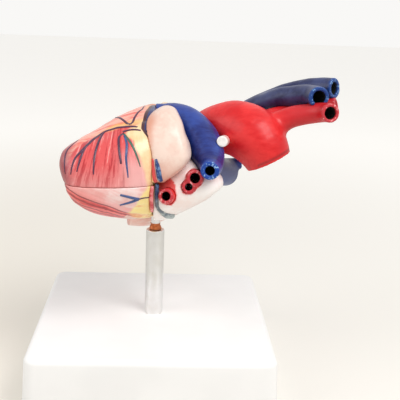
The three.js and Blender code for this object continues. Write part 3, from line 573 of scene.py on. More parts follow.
def skin_of(shape, low, high, step):
    """Points and four-sided faces of the surface where the distance is nought. The grid is
    filled in only in the blocks that the surface passes through."""
    low = np.array(low, float) - 1.5 * step
    cells = np.ceil((np.array(high, float) + 1.5 * step - low) / step).astype(int) + 1
    blocks = -(-cells // BLOCK)
    corners = np.stack(
        np.meshgrid(*[np.arange(count) for count in blocks], indexing="ij"), axis=-1
    ).reshape(-1, 3)
    middles = low + (corners + 0.5 - 0.5 / BLOCK) * BLOCK * step
    rough = in_parts(shape, middles)
    values = rough.reshape(blocks)
    for axis in range(3):
        values = np.repeat(values, BLOCK, axis=axis)
    near = corners[np.abs(rough) < BLOCK * step * 0.5 * math.sqrt(3) * 1.4 + 0.6]
    inner = np.stack(np.meshgrid(*[np.arange(BLOCK)] * 3, indexing="ij"), axis=-1).reshape(-1, 3)
    fine = (near[:, None] * BLOCK + inner[None]).reshape(-1, 3)
    values[tuple(fine.T)] = in_parts(shape, low + fine * step)
    inside = values < 0
    size = np.array(values.shape)
    pulls = []
    owners = []
    quads = []
    for axis in range(3):
        unit = np.eye(3, dtype=int)[axis]
        lower = inside[tuple(slice(0, -1) if k == axis else slice(1, -1) for k in range(3))]
        upper = inside[tuple(slice(1, None) if k == axis else slice(1, -1) for k in range(3))]
        hits = np.argwhere(lower != upper)
        hits[:, [k for k in range(3) if k != axis]] += 1
        first = values[tuple(hits.T)]
        second = values[tuple((hits + unit).T)]
        cross = hits + (first / (first - second))[:, None] * unit
        side = np.eye(3, dtype=int)[(axis + 1) % 3]
        up = np.eye(3, dtype=int)[(axis + 2) % 3]
        ring = [np.ravel_multi_index((hits + shift).T, size) for shift in (-side - up, -up, 0 * up, -side)]
        for cell in ring:
            owners.append(cell)
            pulls.append(cross)
        faces = np.stack(ring, axis=1)
        leaving = first < 0
        quads.append(faces[leaving])
        quads.append(faces[~leaving][:, ::-1])
    owners = np.concatenate(owners)
    pulls = np.concatenate(pulls)
    quads = np.concatenate(quads)
    cells_used, places = np.unique(owners, return_inverse=True)
    counts = np.bincount(places)
    points = np.stack([np.bincount(places, pulls[:, k]) / counts for k in range(3)], axis=1)
    points = low + points * step
    for _ in range(ROUNDS):
        slope = facing(shape, points)
        steepness = np.maximum(np.einsum("ij,ij->i", slope, slope), 0.25)
        shift = (in_parts(shape, points) / steepness)[:, None] * slope
        points = points - np.clip(shift, -0.5 * step, 0.5 * step)
    return points, np.searchsorted(cells_used, quads)


def slope_unit(shape, points):
    """Unit vectors straight out of a form at the points."""
    slope = facing(shape, points)
    return slope / np.maximum(np.linalg.norm(slope, axis=1), 1e-6)[:, None]


def cords_on(shape, relief, lines):
    """Round cords laid half sunk along lines on a form: their points, faces and kinds."""
    points = []
    faces = []
    kinds = []
    for kind, stations in lines:
        line = route(stations, 1.0)
        middle = line[:, :3]
        for _ in range(5):
            outward = slope_unit(shape, middle)
            middle = middle - shape(middle)[:, None] * outward
        along = np.gradient(middle, axis=0)
        across = np.cross(along / np.linalg.norm(along, axis=1)[:, None], outward)
        if relief:
            middle = middle + outward * relief(middle)[:, None]
        first = len(points)
        points.append(middle[0] - 0.3 * outward[0])
        for centre, side, out, radius in zip(middle, across, outward, line[:, 3]):
            for turn in np.arange(CORD_SIDES) * 2 * math.pi / CORD_SIDES:
                rise = math.sin(turn) * (0.55 if math.sin(turn) > 0 else 0.9)
                points.append(centre + radius * (side * math.cos(turn) + out * rise))
        points.append(middle[-1] - 0.3 * outward[-1])
        last = len(points) - 1
        sides = rings_to_faces(len(middle), CORD_SIDES)
        faces += [[corner + first + 1 for corner in face[::-1]] for face in sides]
        for step in range(CORD_SIDES):
            after = (step + 1) % CORD_SIDES
            faces.append([first, first + 1 + step, first + 1 + after])
            faces.append([last, last - CORD_SIDES + after, last - CORD_SIDES + step])
        kinds += [kind] * (last - first + 1)
    return np.array(points), faces, np.array(kinds, float)


def cast(name, shape, box, step, finish, body, nodes, marks=None, relief=None, cords=None):
    """A piece of the heart from its distance, in millimetres above the post. Marks are named
    functions of the points, relief moves the surface out, cords are a form and lines on it."""
    points, faces = skin_of(shape, box[0], box[1], step)
    values = {key: mark(points) for key, mark in (marks or {}).items()}
    if relief:
        points = points + slope_unit(shape, points) * relief(points)[:, None]
    faces = faces.tolist()
    if cords:
        more, sides, kinds = cords_on(cords[0], relief, cords[1])
        faces += [[corner + len(points) for corner in side] for side in sides]
        values = {key: np.concatenate([values[key], mark(more)]) for key, mark in marks.items()}
        values["cord"] = np.concatenate([np.zeros(len(points)), kinds])
        points = np.concatenate([points, more])
    return piece_from(name, points + (0, 0, HEART_FOOT), faces, finish, body, nodes, values)


def box_round(routes):
    """Lowest and highest corner of the rods along the routes."""
    lines = np.vstack([route(stations) for stations in routes])
    low = (lines[:, :3] - lines[:, 3:]).min(axis=0)
    high = (lines[:, :3] + lines[:, 3:]).max(axis=0)
    return low - BOX_MARGIN, high + BOX_MARGIN


def cut(shape, tool, gap=0.0, blend=0.3):
    """Distance to a form with a tool's form taken out, and a gap left round the tool."""
    return lambda points: smooth_max(shape(points), gap - tool(points), blend)


def waves(points, size, seed=1):
    """Gentle lumps about size millimetres across, from -1 to 1."""
    draw = np.random.default_rng(seed)
    total = np.zeros(len(points))
    for _ in range(7):
        heading = draw.normal(size=3)
        heading *= 2 * math.pi / size / np.linalg.norm(heading) * draw.uniform(0.6, 1.3)
        total += np.sin(points @ heading + draw.uniform(0, 6.28))
    return total / 4


aorta_outside = joined([
    tube(AORTA), tube(NEAR_ARTERY), tube(FAR_ARTERY),
], 3.0)
aorta_bore = joined([
    tube(AORTA, -ARTERY_WALL, 60, 60), tube(NEAR_ARTERY, -BRANCH_WALL, 0, 60),
    tube(FAR_ARTERY, -BRANCH_WALL, 0, 60),
], 1.0)


def aorta_shape(points):
    """The arch with its bores, cut off at the ventricles' flat back."""
    walls = smooth_max(aorta_outside(points), -aorta_bore(points), 0.7)
    return smooth_max(walls, BASE_PLANE + GAP - points[:, 0], 0.3)


def depth_inside(outside):
    """Millimetres under a form's outer face, which marks the black paint of a bore."""
    return lambda points: -in_parts(outside, points)


def mouth_rims(*routes):
    """Millimetres from the rims at the far ends of the rods along the routes."""
    def distance(points):
        result = np.full(len(points), 50.0)
        for stations in routes:
            line = route(stations)
            ahead = line[-1, :3] - line[-2, :3]
            away = points - line[-1, :3]
            along = away @ (ahead / np.linalg.norm(ahead))
            beside = np.sqrt(np.maximum(np.einsum("ij,ij->i", away, away) - along ** 2, 0))
            result = np.minimum(result, np.hypot(along, beside - line[-1, 3] + 1.2))
        return result

    return distance


def vessel_finish(name, deep, light, rim, painted_glint, dull=(0, 0, 0, 1), gloss=0.28, coat=0.1):
    """Hand-painted vinyl under a clear varnish, its mouths rimmed and black inside, with painted highlights
    flecked on the rims.
    """
    finish = Finish(name, Specular_IOR_Level=0.35, Coat_Weight=coat, Coat_Roughness=0.12)
    wash = finish.noise(15, detail=3.0)
    strokes = finish.noise(2.6, stretch=(3, 1, 1), detail=4.0, roughness=0.6)
    colour = finish.blend((0.65 * wash + 0.35 * strokes).rise(0.36, 0.62), deep, light)
    colour = finish.blend(finish.mark("dull"), colour, dull)
    colour = finish.blend(finish.mark("line"), colour, pale(70, 24, 32))
    # Pale flecks on the mouths' rims are painted highlights.
    painted_glints = finish.noise(1.6, detail=2.0).rise(0.56, 0.68)
    edge = finish.blend(painted_glints, rim, painted_glint)
    colour = finish.blend((finish.mark("rim") + 2.4 * strokes).rise(3.6, 2.2), colour, edge)
    hollow = (finish.mark("depth") + 1.2 * strokes).rise(1.9, 2.4)
    finish.feed("Base Color", finish.blend(hollow, colour, BORE_BLACK))
    finish.feed("Roughness", gloss + 0.16 * strokes)
    finish.bump(0.6 * strokes + wash, 0.22)
    return finish


BORE_BLACK = pale(42, 46, 44)
artery_red = vessel_finish(
    "artery_red", pale(210, 14, 20), pale(230, 46, 46), pale(196, 50, 60), pale(244, 160, 160),
    pale(192, 34, 42), 0.34,
)
cast(
    "aorta_arch", aorta_shape, box_round([AORTA, NEAR_ARTERY, FAR_ARTERY]), 0.8, artery_red,
    "heart", ["aorta"],
    {"depth": depth_inside(aorta_outside), "rim": mouth_rims(NEAR_ARTERY, FAR_ARTERY),
     "dull": lambda points: 0.8 * np.clip((points[:, 0] - 72) / 14, 0, 1),
     "line": lambda points: np.clip(2.1 - mouth_rims(AORTA)(points), 0, 1) * (points[:, 0] > 62)},
    lambda points: 0.18 * waves(points, 16, 5),
)


# The pulmonary trunk: hollow cast vinyl, painted deep blue with a gloss varnish. It leaves the
# right ventricle in front of the aorta and parts into a left and a right branch, and the
# aorta's arch bears on it.
TRUNK_WALL = 2.6
PULMONARY_TRUNK = [
    (-8, 1, 71.2, 11), (-1.5, 1, 71.2, 11), (4, 1, 71.2, 11.2), (10, -1, 71.6, 11.8),
    (18, -5.6, 69.8, 12.1), (26, -14, 63, 12.2), (31, -25, 56.4, 10.2), (32.4, -37, 51.6, 7.2),
    (31.2, -50, 51.2, 5.4),
]
RIGHT_PULMONARY = [(25, -12, 60, 9), (31.5, -4, 47, 9.2), (40, 8, 38.4, 9.2), (47, 20, 35, 9.2)]
UPPER_LOBE_BRANCH = [(43, 13, 37.5, 5), (49.5, 17.6, 40, 4.4), (55.4, 20, 41.4, 4)]
lobe_branch = tube(UPPER_LOBE_BRANCH)
trunk_outside = joined([tube(PULMONARY_TRUNK), tube(RIGHT_PULMONARY, 0, 0, 0, 2.2), lobe_branch], 2.5)
trunk_bore = joined([
    tube(PULMONARY_TRUNK, -TRUNK_WALL, 60, 60), tube(RIGHT_PULMONARY, -TRUNK_WALL, 0, -4),
    tube(UPPER_LOBE_BRANCH, -TRUNK_WALL, 0, 60),
], 1.0)


def trunk_shape(points):
    walls = smooth_max(trunk_outside(points), -trunk_bore(points), 0.7)
    behind = smooth_max(walls, BASE_PLANE + GAP - points[:, 0], 0.3)
    return smooth_max(behind, TOUCH - aorta_outside(points), 0.3)


trunk_blue = vessel_finish(
    "trunk_blue", pale(18, 30, 104), pale(44, 70, 152), pale(18, 66, 156), pale(150, 190, 232),
    pale(86, 96, 142), 0.28, 0.05,
)
cast(
    "pulmonary_trunk_cast", trunk_shape, box_round([PULMONARY_TRUNK, RIGHT_PULMONARY, UPPER_LOBE_BRANCH]),
    0.75,
    trunk_blue, "heart", ["pulmonary_trunk"],
    {"depth": depth_inside(trunk_outside), "rim": mouth_rims(PULMONARY_TRUNK, UPPER_LOBE_BRANCH),
     "dull": lambda points: np.clip((points[:, 1] + 14) / 8, 0, 1) * np.clip((58 - points[:, 2]) / 5, 0, 1)
     * np.clip(lobe_branch(points) / 0.6 - 0.5, 0, 1)},
    lambda points: 0.15 * waves(points, 14, 8),
)

# The superior vena cava: cast vinyl in dull dark blue, with a groove where its two great
# veins run side by side to their cut ends. It is glued to the right atrium.
VEIN_WALL = 2.4
SUPERIOR_CAVA = [
    (19, 34, 33, 8.5), (27, 36, 46, 8.5), (40, 36.4, 58.4, 8), (54, 32.4, 69.6, 8), (66, 28.6, 77.6, 7.8),
    (78, 27.4, 85, 6.9), (90, 23.4, 90, 6.9), (102, 16, 93.4, 6.8), (112.8, 6.4, 94.8, 6.6),
]
NEAR_CAVA_BRANCH = [
    (62, 28.6, 75.2, 7.4), (70, 23, 81.4, 6.9), (78, 15.6, 86, 6.8), (88, 6.4, 89.2, 6.8),
    (94.8, -1.2, 90.6, 6.8), (98, -7.4, 91, 6.7), (99, -14, 91.2, 6.5),
]
cava_outside = joined([tube(SUPERIOR_CAVA), tube(NEAR_CAVA_BRANCH)], 2.5)
cava_bore = joined([
    tube(SUPERIOR_CAVA, -VEIN_WALL, 60, 60), tube(NEAR_CAVA_BRANCH, -VEIN_WALL, 0, 60),
], 1.0)


def cava_shape(points):
    walls = smooth_max(cava_outside(points), -cava_bore(points), 0.7)
    walls = smooth_max(walls, TOUCH - aorta_outside(points), 0.3)
    return smooth_max(walls, TOUCH - trunk_outside(points), 0.3)


vein_blue = vessel_finish(
    "vein_blue", pale(28, 34, 76), pale(58, 68, 112), pale(20, 62, 132), pale(110, 156, 206), gloss=0.3,
)
cast(
    "superior_cava_cast", cava_shape, box_round([SUPERIOR_CAVA, NEAR_CAVA_BRANCH]), 0.75,
    vein_blue, "heart", ["superior_vena_cava"],
    {"depth": depth_inside(cava_outside), "rim": mouth_rims(SUPERIOR_CAVA, NEAR_CAVA_BRANCH)},
    lambda points: 0.2 * waves(points, 12, 11),
)

# The inferior vena cava: a short cast tube under the right atrium, in pale flesh with a
# bluish mouth, as the photograph's rounded stub beneath the heart.
INFERIOR_CAVA = [(13, 28, 18, 8.5), (5, 24.4, 9.4, 8.5), (-6, 20.4, 4.6, 8.4), (-19.4, 18.6, 4.4, 7.8)]
lower_cava_outside = tube(INFERIOR_CAVA, 0, 0, 0, 2.0)
lower_cava_bore = tube(INFERIOR_CAVA, -VEIN_WALL, 20, 20)


def lower_cava_shape(points):
    return smooth_max(lower_cava_outside(points), -lower_cava_bore(points), 0.7)


flesh_stub = vessel_finish(
    "flesh_stub", pale(250, 200, 186), pale(254, 236, 226), pale(236, 186, 174), pale(206, 166, 156),
    gloss=0.34,
)
cast(
    "inferior_cava_cast", lower_cava_shape, box_round([INFERIOR_CAVA]), 0.7, flesh_stub, "heart",
    ["inferior_vena_cava"], {"depth": depth_inside(lower_cava_outside), "rim": mouth_rims(INFERIOR_CAVA)},
    lambda points: 0.15 * waves(points, 10, 2),
)

# The four pulmonary veins: short red stubs with black mouths, cast with the left atrium's
# wall. The upper left one is a pair of tubes side by side.
PULMONARY_VEINS = {
    "left_superior_pulmonary_vein": [
        [(22.4, -16, 35, 5.4), (22.6, -30, 42, 5.2), (23.1, -45, 45.6, 4.9)],
        [(21.4, -16, 32, 4.5), (20, -30, 37.8, 4.3), (19.4, -45, 40, 4.1)],
    ],
    "left_inferior_pulmonary_vein": [[(11, -25, 29, 5.2), (8, -38, 32.6, 4.9), (6, -46.2, 34.5, 4.6)]],
    "right_superior_pulmonary_vein": [[(33, 0, 35.6, 4.9), (36.2, 12, 29.8, 4.7), (38.4, 21, 26.6, 4.6)]],
    "right_inferior_pulmonary_vein": [[(24, -1, 29.8, 4.9), (28.2, 12, 23.4, 4.7), (30.4, 21, 21.4, 4.6)]],
}
SMALL_WALL = 1.9
vein_outsides = {
    name: joined([tube(stations, 0, 0, 0, 1.4) for stations in routes], 1.6) for name,
    routes in PULMONARY_VEINS.items()
}
vein_cutters = joined(
    [tube(stations, 0, 6, 6) for routes in PULMONARY_VEINS.values() for stations in routes], 0.1
)
for name, routes in PULMONARY_VEINS.items():
    outside = vein_outsides[name]
    bore = joined([tube(stations, -SMALL_WALL, 20, 20) for stations in routes], 0.1)
    shape = cut(cut(outside, bore, 0, 0.7), trunk_outside, TOUCH)
    cast(
        name + "_cast", shape, box_round(routes), 0.55, artery_red, "heart", [name],
        {"depth": depth_inside(outside), "rim": mouth_rims(*routes)},
        lambda points: 0.12 * waves(points, 7, 4),
    )

# The ligament: a small white peg between the aorta's arch and the trunk, glued at both ends.
LIGAMENT = [(42.6, -10, 62.6, 3.3), (40.8, -20, 63.4, 3.3), (39, -31, 65.2, 3.3)]
peg_white = Finish("peg_white", Roughness=0.3, Coat_Weight=0.3)
chalk = peg_white.noise(2.0, detail=2.0)
peg_white.feed(
    "Base Color", peg_white.blend(chalk.rise(0.3, 0.7), pale(238, 232, 226), pale(250, 246, 240)),
)
ligament = cut(cut(tube(LIGAMENT), aorta_outside, TOUCH), trunk_outside, TOUCH)
cast(
    "ligament_peg", ligament, box_round([LIGAMENT]), 0.4, peg_white, "heart",
    ["ligamentum_arteriosum"],
)

# The coronary sinus and the circumflex artery: two thin cast cords in the groove between
# atrium and ventricle, glued into their channels. The vein goes from blue to a grey daub.
CORONARY_SINUS = [
    (0.9, -43.4, 41.2, 1.3), (0.6, -41.6, 34.4, 1.2), (1.2, -38.9, 26.8, 1.1),
    (4, -38.3, 22.8, 1.5), (7.6, -36.2, 20.2, 2.3), (11, -32.6, 19, 2.1),
]
CIRCUMFLEX = [
    (-1.9, -45, 40.2, 1.1), (-2.4, -43.4, 33.4, 1.2), (-2.2, -39.8, 26.8, 1.2), (-2, -35.4, 22, 1.1),
]
sinus_outside = tube(CORONARY_SINUS, 0, 0, 0, 1.2)
circumflex_outside = tube(CIRCUMFLEX, 0, 0, 0, 0.8)
sinus_tool = tube(CORONARY_SINUS, 0, 6, 2)
circumflex_tool = tube(CIRCUMFLEX, 0, 6, 1)
sinus_blue = Finish("sinus_blue", Roughness=0.34, Coat_Weight=0.3)
daub = sinus_blue.noise(2.6, detail=4.0)
lower = (sinus_blue.mark("height") + 4 * daub).rise(-5, -11)
blue = sinus_blue.blend(daub.rise(0.4, 0.6), pale(10, 44, 92), pale(80, 112, 156))
grey = sinus_blue.blend(daub.rise(0.4, 0.6), pale(112, 122, 132), pale(176, 186, 184))
sinus_blue.feed("Base Color", sinus_blue.blend(lower, blue, grey))
sinus_blue.bump(daub, 0.15)
cast(
    "coronary_sinus_cord", cut(sinus_outside, vein_cutters, TOUCH), box_round([CORONARY_SINUS]), 0.45,
    sinus_blue,
    "heart", ["coronary_sinus"], {"height": lambda points: points[:, 2] - 40},
    lambda points: 0.2 * waves(points, 5, 4),
)
cord_red = Finish("cord_red", Roughness=0.34, Coat_Weight=0.3)
daub = cord_red.noise(3.0, detail=4.0)
cord_red.feed("Base Color", cord_red.blend(daub.rise(0.35, 0.65), pale(206, 36, 56), pale(248, 150, 150)))
cast(
    "circumflex_cord", circumflex_outside, box_round([CIRCUMFLEX]), 0.4, cord_red,
    "heart", ["circumflex_artery"], relief=lambda points: 0.15 * waves(points, 4, 6),
)

# The rear half of the ventricles: a thick cast vinyl shell, cut off level at the seam. Its two
# chambers, their outlets and the round holes of the two atrial valves are open, and a boss in
# its floor takes the bush for the pin. Muscle, fat and vessels are painted on by hand.
SEAM = 40.0
VENTRICLES = [
    (-56.9, -37, -37, 50.6, 50.6),
    (-56.4, -40.8, -33, 47.6, 54.2), (-55.4, -44.6, -29, 44.6, 57.2), (-53.4, -47.4, -23.4, 38.4, 59.6),
    (-49.8, -49.9, -15, 28.6, 61.8), (-45, -52, -4.4, 23.6, 64.4), (-38, -53.2, 9, 18.8, 67.6),
    (-29, -53.2, 21, 15.2, 71.8), (-20, -52, 33.5, 13, 76), (-12, -50, 40.5, 11.4, 79.4),
    (-6.5, -47.6, 43, 11.2, 81.2), (-3, -45.4, 44.6, 11.6, 81.6), (-1.5, -43.6, 44.4, 12.4, 81.2),
]
LEFT_CHAMBER = [
    (-45.8, -32, -32, 42, 42), (-45, -36, -28, 37.5, 46), (-41.4, -40, -24, 31.5, 52),
    (-36, -42, -19, 26.5, 57),
    (-26, -42, -15, 22.5, 61), (-15, -39.2, -14, 20.4, 60), (-6, -33, -16, 25, 54), (-5, -26, -26, 38, 38),
]
RIGHT_CHAMBER = [
    (-38.8, 0, 0, 40, 40), (-38, -3.5, 3, 34, 47), (-31, -4, 14, 27, 56), (-24, -3, 22, 21.5, 62),
    (-17.5, 2, 28, 19, 64), (-13, 6, 28, 20, 56), (-12, 17, 17, 38, 38),
]
LEFT_OUTFLOW = [(-17, -24, 44, 8.5), (-9, -11, 45.4, 8.6), (-4, -1.4, 46.8, 9), (0, 2, 47, 9.3)]
RIGHT_OUTFLOW = [(-20, 11, 53, 8), (-11, 6, 64, 8), (-4, 1.6, 70.4, 8), (0, 1, 71.2, 8)]
MITRAL = (-22, 29.4)
TRICUSPID = (21, 28.5)
VALVE_BORE_RADIUS = 10.5
BOSS_RADIUS = 7
BOSS_TOP = 23.9
BUSH_HOLE_RADIUS = 5.3
MAGNET_POCKET_RADIUS = 3.3
PEG_HOLE_RADIUS = 2.3
FULLNESS = 2.25
END_ROUND = 0.3


def oval(stations, grow=0.0, shift=0.0, before=0.0):
    """Distance to an oval form along X from its stations, swollen by grow and moved by shift."""
    table = np.array(stations, float)
    knots = table[:, 0] + shift
    tracks = np.stack([
        (table[:, 1] + table[:, 2]) / 2, (table[:, 3] + table[:, 4]) / 2,
        ((table[:, 2] - table[:, 1]) / 2) ** 2, ((table[:, 4] - table[:, 3]) / 2) ** 2,
    ], axis=1)
    steps = np.diff(knots)
    rates = np.diff(tracks, axis=0) / steps[:, None]
    slopes = np.vstack([rates[:1], (rates[:-1] * steps[1:, None] + rates[1:] * steps[:-1, None])
                        / (steps[1:] + steps[:-1])[:, None], rates[-1:]])
    fine = np.arange(knots[0], knots[-1] + 0.2, 0.2)
    index = np.clip(np.searchsorted(knots, fine, side="right") - 1, 0, len(steps) - 1)
    wide = steps[index][:, None]
    share = ((fine - knots[index]) / steps[index]).clip(0, 1)[:, None]
    ease = share * share * (3 - 2 * share)
    pull = share * (1 - share) * wide
    smooth = tracks[index] + (tracks[index + 1] - tracks[index]) * ease
    smooth += slopes[index] * pull * (1 - share) - slopes[index + 1] * pull * share

    def fraction(x, points):
        middle_y, middle_z, wide, tall = [np.interp(x, fine, smooth[:, k]) for k in range(4)]
        half_y = np.maximum(np.sqrt(np.maximum(wide, 0.01)) + grow, 0.1)
        half_z = np.maximum(np.sqrt(np.maximum(tall, 0.01)) + grow, 0.1)
        across = np.abs(points[:, 1] - middle_y) / half_y
        along = np.abs(points[:, 2] - middle_z) / half_z
        ratio = (across ** FULLNESS + along ** FULLNESS) ** (1 / FULLNESS)
        ratio = np.maximum(ratio, 1e-3)
        slope_y = (across / ratio) ** (FULLNESS - 1) / half_y
        slope_z = (along / ratio) ** (FULLNESS - 1) / half_z
        return ratio, slope_y, slope_z

    def distance(points):
        x = points[:, 0]
        ratio, slope_y, slope_z = fraction(x, points)
        slope_x = (fraction(x + 0.2, points)[0] - fraction(x - 0.2, points)[0]) / 0.4
        level = np.maximum(np.hypot(slope_y, slope_z), 0.01)
        result = (ratio - 1) / np.hypot(level, np.clip(slope_x, -2.5 * level, 2.5 * level))
        result = smooth_max(result, knots[0] - grow - before - x, END_ROUND)
        return smooth_max(result, x - knots[-1] - grow, END_ROUND)

    return distance


def upright(radius, low, high, x, y):
    """Distance to an upright round bar."""
    return tube([(x, y, low, radius), (x, y, high, radius)], 0, 0, 0, 0.2)


def crossbar(radius, left, right, y, z):
    """Distance to a round bar along X."""
    return tube([(left, y, z, radius), (right, y, z, radius)], 0, 0, 0, 0.6)


MAGNET_PLACES = [(-28, -47.4), (-48, -42.4), (-30, -9.5), (-12, 33)]
PEG_PLACES = [(-46.6, -22.4), (-6.6, 36.6)]
BELLIES = {
    "papillary_muscle_left_near": [
        (-42, -36.6, 31, 3.8), (-36, -35.4, 30, 3.6), (-29, -32.4, 29, 2.6), (-25, -30, 28.6, 1.4),
    ],
    "papillary_muscle_left_far": [
        (-41, -26, 31, 3.8), (-35, -23.4, 30, 3.4), (-29, -21, 29, 2.5), (-25, -20.6, 28.6, 1.4),
    ],
    "papillary_muscle_right_near": [
        (-37, 1, 36, 3.6), (-31, 4.4, 34, 3), (-25, 9.6, 31, 2.2), (-21.4, 13.6, 29.4, 1.3),
    ],
    "papillary_muscle_right_far": [
        (-28.4, 13.4, 29.4, 3.2), (-25, 16.2, 29.8, 2.3), (-21.4, 18.4, 29.8, 1.3),
    ],
}
ventricles_outside = oval(VENTRICLES)
left_chamber = oval(LEFT_CHAMBER)
right_chamber = oval(RIGHT_CHAMBER)
outflows = joined([tube(LEFT_OUTFLOW, 0, 6, 6), tube(RIGHT_OUTFLOW, 0, 6, 6)], 1.0)
valve_holes = joined([crossbar(VALVE_BORE_RADIUS, -14.4, 6, *place) for place in (MITRAL, TRICUSPID)], 0.1)
magnet_pockets = joined([upright(MAGNET_POCKET_RADIUS, 36.4, 43.9, x, y) for x, y in MAGNET_PLACES], 0.1)
peg_holes = joined([upright(PEG_HOLE_RADIUS, 32.7, 46.3, x, y) for x, y in PEG_PLACES], 0.1)
belly_tools = joined([tube(stations, 0, 0.3, 0.3) for stations in BELLIES.values()], 0.1)
boss = upright(BOSS_RADIUS, 10.4, BOSS_TOP, 0, 0)
bush_hole = upright(BUSH_HOLE_RADIUS, -6, 22.2, 0, 0)


def trabeculae(points):
    """Ridges of muscle lengthwise on a chamber's wall."""
    return 0.45 * waves(points * (0.35, 1, 1), 5.5, 21) - 0.1


def chambers(points):
    left = left_chamber(points)
    right = right_chamber(points)
    rooms = np.minimum(left, right) + trabeculae(points)
    return smooth_min(rooms, outflows(points), 1.5)


def ventricles(points):
    """Distance to both halves together, before the seam."""
    walls = smooth_max(ventricles_outside(points), -chambers(points), 0.8)
    walls = smooth_max(walls, points[:, 0] - BASE_PLANE, 0.4)
    walls = smooth_max(walls, -magnet_pockets(points), 0.2)
    return smooth_max(walls, -peg_holes(points), 0.2)


def rear_shape(points):
    half = smooth_max(ventricles(points), points[:, 2] - SEAM, 0.5)
    half = smooth_min(half, boss(points), 1.0)
    half = smooth_max(half, -valve_holes(points), 0.4)
    half = smooth_max(half, -bush_hole(points), 0.3)
    half = smooth_max(half, TOUCH - lower_cava_outside(points), 0.3)
    half = smooth_max(half, TOUCH - sinus_tool(points), 0.3)
    half = smooth_max(half, TOUCH - circumflex_tool(points), 0.3)
    return smooth_max(half, TOUCH - belly_tools(points), 0.2)


FAT_EDGE = [
    (14, -8), (18, -13), (23.2, -15.9), (27.9, -11.8), (34.7, -8.4), (40, -5.6), (42.4, -5.6), (51.9, -7.5),
    (58.7, -10), (66, -13.7), (69, -18.6), (71.5, -17.5), (76, -9), (82, -5),
]
BAND_EDGE = [
    (-60, 43), (-51.6, 38.8), (-44.5, 34.8), (-37, 32.1), (-28.4, 29.1), (-21.6, 25.5), (-15.3, 23.2),
    (-7.8, 20.8), (0, 19.6),
]
BULGE_EDGE = [(-24, 10), (-19.4, 17), (-17.1, 20.9), (-14.2, 19.6), (-8.9, 18.6), (-3.1, 18.5), (0, 18.5)]
CREST = [
    (-52, -49), (-48.8, -45.4), (-46.2, -41.8), (-42.8, -38.6), (-39.5, -35.4), (-35.6, -32.6),
    (-29.9, -30.4), (-20, -29), (0, -29),
]
FAN_HEIGHT = 135


def level_at(edge, places):
    """Where a painted edge, given by a few of its places, runs at other places."""
    return np.interp(places, [place for place, _ in edge], [value for _, value in edge])


def fat_mark(points):
    """Millimetres inside the yellow fat at the ventricles' base, less than nought outside it."""
    near = np.clip((-18 - points[:, 1]) / 10, 0, 1)
    edge = points[:, 0] + 7 * (1 - near) - near * level_at(FAT_EDGE, points[:, 2])
    return edge - 1.2 * (1 - near) * waves(points, 18, 3)


def band_mark(points):
    """Millimetres under the upper edge of the red muscle band, lengthwise on the rear half."""
    return level_at(BAND_EDGE, points[:, 0]) - points[:, 2] + 0.5 * waves(points, 16, 6)


def bulge_mark(points):
    return level_at(BULGE_EDGE, points[:, 0]) - points[:, 2]


def crest_mark(points):
    """Millimetres beyond the crest of the front, towards the right ventricle."""
    return points[:, 1] - level_at(CREST, points[:, 0])


def fan_mark(points):
    """Millimetres across the fibres of the near side, which fan out from high above it."""
    return 75 * np.arctan2(points[:, 0] + 22, FAN_HEIGHT - points[:, 2])


def far_mark(points):
    return points[:, 1]


def height_mark(points):
    return points[:, 2] - SEAM


def apex_mark(points):
    return points[:, 0]


def hollow_mark(points):
    """1 on the walls of the chambers and 0.5 on the level cut at the seam."""
    inside = -in_parts(ventricles_outside, points)
    level = (np.abs(points[:, 2] - SEAM - GAP / 2) < 0.35) & (inside > 0.9)
    return np.where(level, 0.5, np.clip((inside - 1.2) / 0.8, 0, 1))


PURPLE, GREEN, BLUE, RED = 1, 2, 3, 4
rear_cords = [
    (BLUE, [(-20.1, -51.7, 35.6, 0.7), (-14.7, -50.2, 33.9, 0.9), (-9.2, -47.8, 31.9, 1.0)]),
    (BLUE, [(-20.2, -49.7, 27.7, 0.6), (-14.7, -49.2, 29.8, 0.9), (-9.2, -47.8, 31.9, 1.0)]),
    (PURPLE, [(-9.6, -47.9, 32.0, 0.6), (-6.6, -45.6, 32.6, 0.5), (-3.6, -42.6, 32.9, 0.4)]),
    (
        PURPLE,
        [
            (-5, 12, 11.4, 0.9), (-18, 9, 13.4, 0.9), (-30, 3, 17, 0.8), (-40, -8, 22, 0.6),
            (-48, -16, 30, 0.4),
        ],
    ),
    (BLUE, [(-24, 10, 15, 0.7), (-29, 8, 17, 0.8), (-38, 1, 21, 0.5)]),
    (PURPLE, [(-20, 9, 14, 0.6), (-27, 15, 18, 0.5), (-32, 16, 24, 0.4)]),
    (PURPLE, [(-16, 10, 13, 0.6), (-26, -3, 14, 0.6), (-34, -18, 18, 0.4)]),
    (PURPLE, [(-5.4, 41.4, 36, 0.8), (-5, 39, 28, 0.8), (-4.6, 33, 20, 0.8), (-4.6, 27, 15, 0.6)]),
    (PURPLE, [(-5.4, 40, 30, 0.7), (-14, 37.6, 27, 0.6), (-24, 29, 27.6, 0.4)]),
]


def muscle_finish(name):
    """Painted muscle: its fat, its cords and its open inside, on which each half paints more."""
    finish = Finish(name, Specular_IOR_Level=0.5, Coat_Weight=0.3, Coat_Roughness=0.15)
    finish.patches = finish.noise(9, detail=4.0, roughness=0.6)
    finish.strokes = finish.noise(1.8, stretch=(2, 1, 2), detail=4.0, roughness=0.65)
    return finish


def fibres(finish, across, along, size, stretch):
    """Noise drawn out along the fibres, from the marks across and along them."""
    values = {0: across / size, 1: along / (size * stretch), 2: finish.strokes * 0.4}
    place = finish.node("ShaderNodeCombineXYZ", {}, values)
    values = {"Vector": place, "Scale": 1.0, "Detail": 4.0, "Roughness": 0.6}
    return finish.node("ShaderNodeTexNoise", {}, values)


